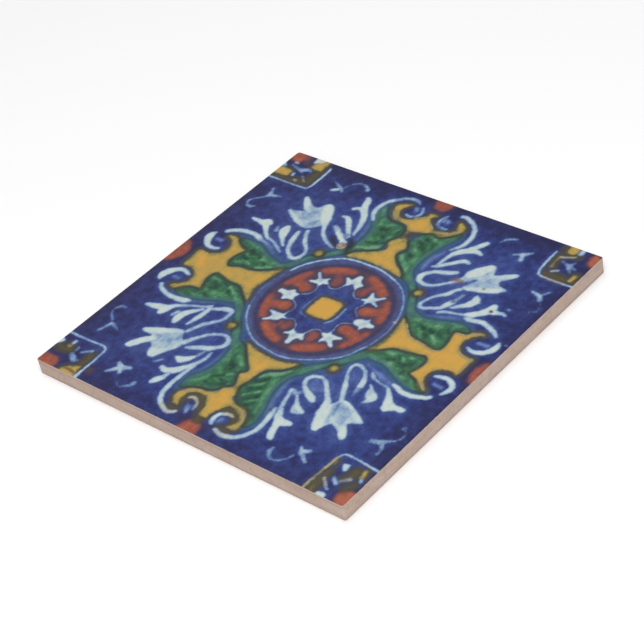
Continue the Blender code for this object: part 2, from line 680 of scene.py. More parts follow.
def paintArms():
    # thin olive inside the lower scrolls, under the yellow
    for points in (
            ((-9.6, -65, 1.0), (-9.2, -61.4, 1.4), (-6, -59, 1.6), (-2, -60, 1.5), (-0.8, -64, 1.2)),
            ((6.2, -61, 1.2), (8.8, -59.2, 1.5), (12.6, -59, 1.6), (15, -61.6, 1.4), (15.2, -64, 0.9)),
            ((-11.4, -68.4, 0.8), (-8.8, -68.2, 0.9)), ((12.6, -67.8, 0.7), (16.6, -68, 0.8)),
            ((2.2, -67, 1.4), (2.8, -68.4, 1.2))):
        stroke(yellow, 0.1, *points)
    # four yellow arms run from the medallion to the middle of each side
    patch(yellow, 0.85, (-11.3, 30.8), (-8.5, 34.1), (-3.6, 36.8), (-0.3, 39.8), (-0.9, 42.2), (-2.2, 44.2),
          (-1.2, 46.8), (1, 49.4), (2.6, 49.3), (4.4, 47.2), (6.4, 44.6), (5.6, 42.2), (5, 40.6), (6, 38.3),
          (9.3, 34.7), (13.5, 32.1), (15.4, 29.2), (8.6, 30.3), (2.2, 30.7), (-4.3, 30.6), (-10.1, 29.6))
    patch(yellow, 0.9, (0.3, 51.6), (-2, 55.4), (-6.5, 56.6), (-9.7, 56.6), (-12, 58.6), (-14.3, 63.1),
          (-13.8, 65.4), (-10.4, 67.3), (-8.8, 67.3), (-10.7, 63.7), (-9.4, 59.9), (-5.5, 58.9), (-1.4, 61.2),
          (1.2, 64.4), (0.9, 66.3), (4.8, 66.5), (3.2, 63.7), (6.4, 60.5), (9, 57.9), (13.2, 57.3),
          (16.7, 60.5), (16.7, 62.1), (15.1, 66.3), (15.7, 67.3), (19.3, 65), (19, 61.2), (15.4, 57),
          (12.8, 55.8), (10.3, 56.6), (7, 55.4), (2.5, 53.7), (1.2, 51.8))
    patch(yellow, 0.85, (-10.1, -28), (-3.9, -29.5), (3.8, -30.3), (10.3, -29.3), (15.1, -28), (13.2, -31.2),
          (9.6, -34.1), (6.1, -36.7), (5.1, -40.9), (5.1, -44.1), (3.8, -48), (6.1, -51.5), (5.7, -53.2),
          (9, -55.4), (13.5, -55.4), (16.7, -58.6), (18.6, -63.8), (18, -66.1), (14.1, -66.4), (16.1, -62.8),
          (14.5, -58.6), (9.9, -57), (6.4, -59.6), (4.8, -64.5), (4.5, -66.4), (0.9, -66.4), (-0.1, -61.9),
          (-3, -58), (-7.5, -57), (-10.2, -60.3), (-10.1, -64.5), (-9.1, -66.4), (-12, -66.1), (-13.8, -61.9),
          (-11.7, -57.4), (-7.5, -55.7), (-4.9, -55.7), (-1.4, -53.2), (-1, -51.2), (1.9, -49.3),
          (0.9, -46.1), (-1, -42.5), (0.9, -39.9), (-1.4, -37.4), (-4.6, -34.1), (-8.1, -30.9))
    patch(yellow, 0.75, (-27.3, 12), (-28.7, 4.3), (-29.3, -3.3), (-27, -10), (-31.7, -7), (-36, -4.3),
          (-41.3, -4.3), (-46.3, -3.3), (-49.7, -2.8), (-50.7, -7), (-49.3, -11.3), (-48, -13), (-52, -13.7),
          (-55.7, -16), (-59.3, -17.3), (-58.7, -15.3), (-56.3, -12), (-57, -7.7), (-61, -5.2), (-65.3, -5),
          (-65.8, 0), (-65.8, 5.3), (-61.3, 5.3), (-57.3, 7.3), (-56.2, 11.7), (-58.3, 15.3), (-61.5, 17.3),
          (-58, 18.5), (-54.7, 16), (-50.7, 14), (-48.3, 13.7), (-50, 10.3), (-50.5, 5.7), (-48.3, 2.7),
          (-44, 4.5), (-37.7, 5.3), (-33, 7.3), (-29.3, 10.7))
    patch(yellow, 0.98, (32, 10.3), (33.2, 4.3), (33.3, -3.7), (31.7, -9.7), (35, -7.7), (39, -4.3),
          (44.3, -3.3), (49.7, -2.3), (52, -1.5), (54.3, -4.7), (53.3, -10), (52.7, -12), (56.7, -13.3),
          (60.3, -16), (63.2, -16.5), (60.3, -13.7), (58.7, -9.7), (60.3, -5.7), (64.7, -4), (68, -4.3),
          (68.2, 1.7), (68, 5), (63, 5.3), (59.7, 8), (59.2, 12.3), (61.7, 16), (63.7, 17), (60.7, 17.3),
          (58, 14.7), (53.3, 14), (54.3, 8.7), (54.5, 3.7), (51.7, 2.7), (46.3, 3.7), (41, 4.3), (37.7, 6.7),
          (34, 10), (32.7, 11))
    paleRims = (
        ((34.8, 9), (38.2, 5.5), (41.4, 3.5), (46.6, 2.8), (51.6, 1.7), (54.6, 2.7)),
        ((61, 6), (64, 4.4), (67.6, 4.3)), ((67.6, 3.6), (67.6, -3)), ((54.4, 13.4), (57.8, 14.2)),
        ((59.8, 16), (62.6, 17.3)), ((59, -13.8), (62.4, -16.6)), ((-9, -57.2), (-12.2, -59.4)),
        ((12, -56.9), (16.2, -59.4), (17.4, -62)), ((-9, 57.6), (-12.6, 60.4)), ((-2.6, 60.6), (0.6, 63.4)),
        ((4.8, 61.2), (8, 58.6)), ((10.6, 57.6), (15, 59), (18, 61.8)),
    )
    for points in paleRims:
        stroke(white, 1.0, *[(x, y, 0.02) for x, y in points])
        shade(cream, 1.0, 0.6, *[(x, y, 0.9) for x, y in points])
    for x, y in yellowDots:
        stroke(yellow, 0.64, (x, y, dotRadius))
    stroke(rust, 0.78, (2.6, 74.5, 4.4), (2.6, 73.2, 4.2))
    stroke(rust, 0.84, (2.8, -74.5, 4.9), (2.8, -73.2, 4.4))
    stroke(rust, 0.84, (-75.5, 3, 5.2), (-74.5, 0.7, 5.6), (-75.5, -2, 5.2))
    stroke(rust, 0.8, (76, 2.6, 4.2), (75.6, 0, 4.5), (76, -2.6, 4.2))
    stroke(yellow, 0.3, (1.4, 48.6, 1.0), (0.9, 50.6, 1.0), (0.6, 52.6, 1.2))
    stroke(dark, 0.7, (2.8, 50.4, 0.6), (4.2, 52, 1.0), (5.2, 53.2, 0.8))
    # the horns run on as broader, paler bands
    horns = (
        (0.72, (8.6, 57.2, 1.1), (12, 57.8, 1.4), (15.6, 59.2, 1.3), (18.2, 62, 1.3), (18.6, 64.4, 1.0)),
        (0.84, (-4, -56.9, 1.0), (-8, -57, 1.2), (-11.6, -59.2, 1.2), (-12.9, -62.4, 1.4),
         (-11.4, -65.6, 1.0)),
        (0.8, (7, -56.6, 1.0), (12, -56.7, 1.2), (15.8, -58.8, 1.4), (17.3, -62, 1.3), (16.2, -65.4, 1.2)),
        (1.0, (58.4, 13, 1.2), (59.6, 15.6, 1.2), (61.8, 17.1, 0.9), (63.2, 17.4, 0.6)),
        (1.0, (57.4, -12, 1.3), (59.8, -14.7, 1.2), (62.6, -16.7, 0.8)),
        (0.7, (-54.6, -13.4, 1.3), (-57.6, -16, 1.6), (-60, -16.9, 1.0)),
        (0.8, (-55.6, 14.6, 1.3), (-58.4, 17, 1.3), (-60.6, 17.4, 0.9)),
    )
    strokes(yellow, horns)
    # thinner, browner yellow at the horns and along the waists
    shades(yellow, 1.6, (
        (0.62, (-8, 57.8, 1.0), (-12, 60, 1.4)), (0.7, (9, 57, 0.8), (14, 58, 1.2), (17.4, 60.8, 1.2)),
        (0.76, (-9, -56.6, 0.8), (-12, -59, 1.2)),
        (0.74, (10, -56.4, 0.8), (15.6, -58.4, 1.2), (17, -61, 1.2)),
        (0.55, (3.2, -44, 1.2), (3.6, -50, 1.2)), (0.62, (1, 44, 1.4), (2.4, 48, 1.4)),
        (0.66, (0.6, 52.4, 0.8), (0.8, 54, 0.8)), (0.74, (-55, 13, 1.0), (-60, 17.6, 1.0)),
        (0.68, (-54, -14.4, 0.8), (-59.4, -17, 0.8)), (0.9, (57.6, 13.6, 0.6), (63, 17, 0.8)),
        (0.9, (57, -12.4, 0.8), (62.4, -16.4, 0.8)), (0.66, (48, -1.6, 0.6), (40, -3, 0.7)),
        (0.56, (33.8, 8.4, 1.0), (33.8, -7.8, 1.0)), (0.66, (-9, 31.6, 0.8), (-4, 35, 0.8)),
        (0.62, (-12, -30.6, 0.6), (-5, -32.6, 1.0)), (0.66, (9, -32, 1.0), (6.6, -36, 0.8))))
    # brighter, warmer yellow in the broad parts
    for points in (
            ((2.6, 60.6, 2.0), (2, 57, 1.6)), ((3, -58, 2.4), (2.6, -54.6, 1.8)),
            ((2, 33.6, 1.2), (6, 33.4, 1.0)), ((-62, 3, 1.0), (-60, -1, 1.6)),
            ((-33, 3.4, 1.4), (-32, 2, 1.0)), ((58, 2, 1.8), (63, 0, 1.8)), ((38, 2.6, 1.0), (36.6, 0, 1.2)),
            ((3.4, -33, 1.2), (2.8, -37.4, 1.0)), ((-12.2, 64.6, 0.8), (-12, 65.8, 0.8))):
        shade(yellow, 1.0, 2.0, *points)


def paintLeaves():
    patch(green, 0.45, (-12.6, 33.1), (-7, 36), (-2.5, 39.3), (-3.2, 42.5), (-2.6, 46), (-1.4, 48),
          (-1.4, 52.1), (-3.9, 54.7), (-9.1, 55), (-13, 56.6), (-15.5, 59.9), (-17.8, 63), (-18.8, 58),
          (-17.2, 53.4), (-13.9, 48.6), (-12.5, 42.1), (-12.8, 35.7))
    patch(green, 0.46, (16.7, 30.8), (12.2, 34.4), (7.7, 37.6), (6.4, 39.9), (8, 43.5), (5.7, 47.6),
          (5.4, 49.2), (6.1, 52.8), (10.3, 56), (12.8, 55), (17.4, 57.3), (19.9, 60.8), (20.3, 58),
          (18.6, 52.8), (17, 46.3), (16.5, 39.5), (17.7, 34.1), (21.5, 29.5))
    patch(green, 0.46, (-16.2, -29.3), (-10.1, -29.9), (-5.5, -34.8), (-1, -38.6), (-0.1, -40.6), (-2, -42.2),
          (-0.1, -46.1), (0.9, -48), (-1.4, -50.3), (-3.6, -53.8), (-8.5, -55.1), (-12.6, -57),
          (-15.5, -58.3), (-15.9, -52.5), (-13, -47.4), (-12.2, -40.9), (-13.3, -34.5))
    patch(green, 0.34, (16, -28), (12.8, -33.8), (8, -36.4), (6.4, -40.3), (5.1, -46.4), (5.1, -48.6),
          (7, -52.5), (10.9, -55.1), (16.1, -55.7), (18.6, -60.3), (19.6, -62.8), (21.2, -60.3),
          (20.6, -54.5), (18, -48), (16.1, -41.5), (16.7, -35.1), (19.9, -29.3))
    patch(green, 0.38, (-27.7, 12.7), (-32, 9.3), (-38.3, 5.8), (-44.3, 5.3), (-48.3, 3.5), (-50, 7.3),
          (-48.7, 11.3), (-48.3, 14), (-52, 15.3), (-55.3, 18.3), (-50, 19.3), (-45.3, 18.7), (-40, 16),
          (-34.3, 14.3))
    patch(green, 0.36, (-27.3, -12), (-31.7, -8.3), (-36, -5.2), (-42, -5), (-48.7, -3.3), (-49.8, -7),
          (-48.3, -11.3), (-48.7, -14), (-53.3, -14.7), (-56.7, -18), (-51.3, -20.3), (-46, -18.7),
          (-40.7, -16.7), (-35.3, -14.3))
    patch(green, 0.5, (31.3, 14), (34, 10.7), (37.7, 7.3), (41.3, 4.8), (46.3, 4.3), (53, 3), (54, 6.7),
          (52.7, 11.7), (53, 14.7), (57.7, 16), (53.7, 18.7), (49, 17.7), (43.7, 16), (38.3, 14.7),
          (33, 15.7))
    patch(green, 0.55, (31.3, -10.3), (35.3, -8), (39.3, -4.8), (44.3, -4), (49.7, -3), (53.3, -3.3),
          (53.5, -8.3), (52.3, -12.3), (57, -14.3), (61, -17), (63, -17.7), (57, -18.3), (51.7, -17),
          (46.3, -14.7), (41, -12.7), (35.7, -12.7))
    # stems that run round the medallion between two leaves, dark teal with lighter dabs
    stroke(green, 0.42, (17.5, 31, 1.6), (21.5, 28.5, 1.3), (24.5, 25.8, 1.1), (27, 22.6, 1.1),
           (30, 17.5, 1.4), (33, 14.3, 1.6))
    stroke(green, 0.5, (18, -30.5, 1.8), (21, -26.5, 1.5), (24.3, -22.8, 1.1), (27.5, -19.2, 1.4),
           (29.5, -15.8, 1.7), (32, -12.5, 1.9))
    stroke(green, 0.5, (-15, -30.5, 1.8), (-18, -25.6, 1.4), (-21, -21.8, 1.1), (-24, -18.3, 1.1),
           (-26.4, -14.8, 1.4), (-29, -12.5, 1.6))
    stroke(green, 0.44, (-13, 32.5, 1.5), (-17, 28.2, 1.3), (-21, 24, 1.1), (-24, 20.8, 1.1), (-27, 15, 1.4),
           (-30, 12, 1.6))
    shades(green, 0.9, (
        (0.8, (22, 27.4, 0.6), (24, 26.4, 0.7)), (0.75, (28, 21.2, 0.6), (28.6, 20.4, 0.6)),
        (0.6, (30.8, 16.6, 0.8), (32.4, 14.8, 0.8)), (0.8, (19, 30, 0.8), (17.6, 31.6, 0.8)),
        (0.7, (22.6, -25, 0.7), (20, -28, 0.8)), (0.7, (27.2, -18.6, 0.7), (28.4, -17.4, 0.7)),
        (0.6, (30.4, -14.4, 0.9), (31.6, -12.6, 0.9)), (0.75, (-16.2, -27.4, 0.8), (-18.4, -25.2, 0.7)),
        (0.6, (-23.6, -18.6, 0.6), (-25.4, -16.6, 0.6)), (0.75, (-29, -12.4, 0.9), (-31, -11.4, 0.9)),
        (0.7, (-15.6, 29.2, 0.8), (-17.4, 28, 0.7)), (0.7, (-23.2, 21.4, 0.6), (-24.2, 20.4, 0.6)),
        (0.75, (-29.4, 12.8, 0.8), (-31.4, 12.8, 0.9))))
    for x, y in yellowDots:        # the dots stand clear of the stems
        green["reach"] = np.minimum(green["reach"], np.hypot(faceX - x, faceY - y) - dotClearance)
    shade(teal, 1.0, 2.0, (19, 30, 1.6), (24.6, 25.6, 1.4), (29, 19.5, 1.4), (33, 14.3, 1.6))
    shade(teal, 0.9, 2.0, (19.5, -28.5, 1.6), (24.3, -22.8, 1.4), (28.5, -17.5, 1.4), (32, -12.5, 1.6))
    shade(teal, 0.9, 2.0, (-16, -28.5, 1.6), (-21, -21.8, 1.4), (-25.4, -16.5, 1.4), (-29, -12.5, 1.6))
    shade(teal, 1.0, 2.0, (-14.6, 31, 1.4), (-21, 24, 1.4), (-25.6, 18, 1.4), (-30, 12, 1.6))
    # broad tones first, then light veins and tips, then the dark hollows between the lobes
    for load, softness, *points in (
            (0.34, 2.0, (-6, 49, 2.4), (-4, 52, 1.6)), (0.54, 1.8, (-9, 43, 1.8), (-5.6, 43.6, 1.2)),
            (0.3, 2.0, (10, 50.6, 2.0), (13, 46.4, 1.4)),
            (0.68, 1.8, (11, 44.4, 1.0), (14, 41, 1.6), (13, 37.6, 1.0)),
            (0.3, 2.2, (-5, -48, 2.6), (-6, -41, 1.8)), (0.66, 1.8, (-11, -34, 1.4), (-10.4, -43, 1.2)),
            (0.26, 2.0, (8.6, -43, 1.6), (10, -50, 2.2)),
            (0.74, 1.6, (12.4, -37.6, 1.0), (14.4, -43, 1.4), (16, -50, 1.2)),
            (0.32, 2.0, (-46, 9.6, 2.0), (-45, 14, 1.6)), (0.7, 1.8, (-40, 12.6, 1.6), (-35, 11, 1.4)),
            (0.32, 2.0, (-46, -8, 2.0), (-38, -9, 1.4)), (0.66, 1.8, (-42, -12.6, 1.8), (-35, -11.4, 1.4)),
            (0.45, 2.0, (40, 9.6, 1.4), (50, 11, 2.0)), (0.7, 1.8, (38, 12.6, 1.2), (45, 13, 2.2)),
            (0.36, 2.0, (41, -9.4, 1.4), (49, -9, 2.4)), (0.72, 1.6, (35, -11.4, 1.2), (45, -12.6, 1.8))):
        shade(green, load, softness, *points)
    lights = (
        (0.95, (-11, 36, 0.7), (-7.5, 37.4, 1.0), (-5, 38.8, 1.0), (-2.8, 41, 0.8)),
        (0.8, (-4.8, 44.6, 0.5), (-3.6, 47, 0.6)), (0.85, (-9.5, 52.6, 0.7), (-6.4, 54, 0.8)),
        (0.75, (-13, 54.6, 0.7), (-12, 51.6, 0.6)), (0.8, (-15.5, 57, 0.8), (-17, 60, 0.7)),
        (0.7, (-4.4, 50, 0.5), (-3.4, 52.2, 0.6)),
        (0.95, (7.5, 40.3, 0.7), (9.4, 38, 0.9), (12.5, 36, 1.0), (15.4, 33, 0.8)),
        (0.85, (7, 48.5, 0.5), (9, 46.5, 0.7), (10.5, 44.5, 0.6)), (0.9, (12.6, 54, 0.7), (14.2, 53, 0.8)),
        (0.8, (16, 53.4, 0.8), (17.6, 51, 0.7)), (0.75, (7.4, 51.6, 0.5), (9.8, 51, 0.5)),
        (0.9, (-7.5, -35.6, 0.8), (-3.6, -38.4, 0.9)), (0.7, (-12.6, -32, 0.9), (-12.4, -37, 0.8)),
        (0.85, (-3, -44, 0.5), (-4.6, -45.6, 0.6)), (0.75, (-3.2, -46.8, 0.4), (-6, -47.4, 0.5)),
        (0.9, (-4.8, -49.6, 0.5), (-7.2, -49, 0.6)), (0.75, (-10.6, -49, 0.7), (-12.6, -53.4, 0.8)),
        (0.6, (-8.6, -44.6, 0.7), (-7.4, -46, 0.6)),
        (1.0, (7.1, -40, 0.6), (8.4, -38, 0.9), (12, -35.6, 0.9), (14.6, -32.6, 0.8)),
        (0.85, (7, -45.6, 0.5), (10.4, -42.2, 0.6)), (0.85, (8, -50.4, 0.5), (12.6, -46, 0.6)),
        (0.8, (11, -53, 0.5), (14.4, -50, 0.6)), (0.8, (17, -51, 0.8), (18, -55.4, 0.8)),
        (0.8, (11.4, -39, 0.6), (14, -41.4, 0.7)), (0.95, (-38, 7, 0.7), (-33, 9.8, 0.9)),
        (0.9, (-48, 6, 0.6), (-45.4, 6.6, 0.5)), (0.8, (-45, 8.2, 0.5), (-41.6, 7.6, 0.6)),
        (0.85, (-47.2, 12.2, 0.6), (-45.4, 11, 0.6)), (0.8, (-46, 17.2, 0.8), (-42.4, 16.6, 0.8)),
        (0.8, (-34.4, 12.4, 0.7), (-31.6, 12.6, 0.7)), (0.8, (-50.6, 18.4, 0.5), (-48.6, 17.8, 0.6)),
        (0.95, (-38.6, -6.8, 0.7), (-33.4, -9.6, 0.9)), (0.85, (-48.2, -5.4, 0.6), (-44.8, -5.6, 0.6)),
        (0.8, (-49, -17, 0.8), (-44.8, -16.6, 0.8)), (0.8, (-42.6, -11.8, 0.7), (-40, -14, 0.8)),
        (0.75, (-47.6, -12, 0.5), (-45.6, -12.6, 0.6)), (0.8, (-32.6, -10.8, 0.7), (-31, -11, 0.7)),
        (0.95, (40.5, 9, 0.5), (42.6, 7, 0.7)), (1.0, (46.8, 8.6, 0.5), (50, 5.8, 0.9)),
        (0.85, (49.5, 17.4, 0.6), (53, 17.2, 0.7)), (0.8, (43, 13, 0.9), (47, 14, 1.0)),
        (0.75, (36.4, 12.6, 0.7), (39, 12.8, 0.7)), (1.0, (39.8, -6.6, 0.9), (40.8, -6.8, 1.0)),
        (1.0, (48, -5.2, 0.6), (49.4, -5.2, 0.5)), (0.95, (45.4, -6.4, 0.5), (47.2, -8.2, 0.5)),
        (0.95, (43.6, -11.8, 0.8), (45.6, -13.2, 0.8)), (0.85, (34, -11.4, 0.8), (37, -11.4, 0.8)),
        (0.85, (50.6, -14.9, 0.7), (53, -15.2, 0.6)), (0.75, (47, -12.4, 0.4), (48.6, -11.8, 0.4)),
    )
    shades(green, 0.9, lights)
    darks = (
        ((-10, 49.6, 0.9), (-7.6, 50.4, 0.8)), ((-7, 46, 0.7), (-5.4, 45.2, 0.7)),
        ((-3, 50.6, 0.5), (-2.2, 48.6, 0.5)), ((-10, 40.3, 0.5), (-6, 41.2, 0.6), (-3.4, 42.8, 0.5)),
        ((-12, 56.2, 0.5), (-9.6, 55.6, 0.5)), ((7.6, 42.9, 0.6), (11, 41.4, 0.7)),
        ((9, 50, 0.7), (12, 47.6, 0.9), (12.6, 46.4, 0.7)), ((8, 54, 0.6), (10.6, 52.6, 0.6)),
        ((14.6, 50.4, 0.6), (15.6, 48.6, 0.6)), ((-8.4, -38.6, 0.7), (-6, -40.8, 0.8)),
        ((-5.4, -42.4, 0.6), (-3, -42.6, 0.5)), ((-5.4, -46, 0.5), (-8, -48, 0.8)),
        ((-2, -48.6, 0.5), (-3.6, -51.4, 0.7)), ((-6, -53, 0.6), (-9.4, -52, 0.7)),
        ((7.6, -42, 0.7), (11, -39.4, 0.7)), ((7.6, -47.4, 0.8), (11.4, -44.4, 0.8)),
        ((9.4, -52.4, 0.7), (13.4, -48.6, 0.7)), ((12, -54.6, 0.5), (14.6, -52.6, 0.5)),
        ((-46.4, 14.6, 0.7), (-44, 13.4, 0.7)), ((-47.4, 10.4, 0.5), (-45, 9.4, 0.6)),
        ((-38.4, 10.6, 0.6), (-36, 10.2, 0.5)), ((-43.4, 5.8, 0.4), (-41.4, 6, 0.4)),
        ((-42, 13.4, 0.5), (-40.6, 12.4, 0.5)), ((-46.2, -6.9, 0.6), (-44, -8.9, 0.7)),
        ((-45.6, -10.6, 0.5), (-43.6, -10.2, 0.5)), ((-37.6, -9, 0.6), (-35.8, -10.6, 0.5)),
        ((-41.4, -6.2, 0.4), (-39.6, -6.8, 0.4)), ((-44.6, -14.6, 0.5), (-42.6, -15.6, 0.4)),
        ((40, 10.8, 0.6), (42.4, 10, 0.7)), ((44.6, 10.4, 0.6), (46.4, 9.6, 0.6)),
        ((50.4, 14, 0.5), (51.4, 12.2, 0.6)), ((48.8, 9.6, 0.6), (51.4, 8.6, 0.6)),
        ((43.8, 7.4, 0.5), (45.4, 6.4, 0.5)), ((41.6, -9.8, 0.6), (43, -8.8, 0.7)),
        ((47.8, -9.4, 0.8), (50.2, -8.6, 0.8)), ((46.4, -9.6, 0.5), (48.6, -10.8, 0.5)),
        ((50.4, -12, 0.6), (50.2, -13.6, 0.5)), ((36.6, -8.8, 0.4), (38, -8, 0.4)),
        ((43.6, -6.4, 0.4), (44.6, -7.4, 0.4)),
    )
    for points in darks:
        shade(green, 0.04, 0.9, *points)


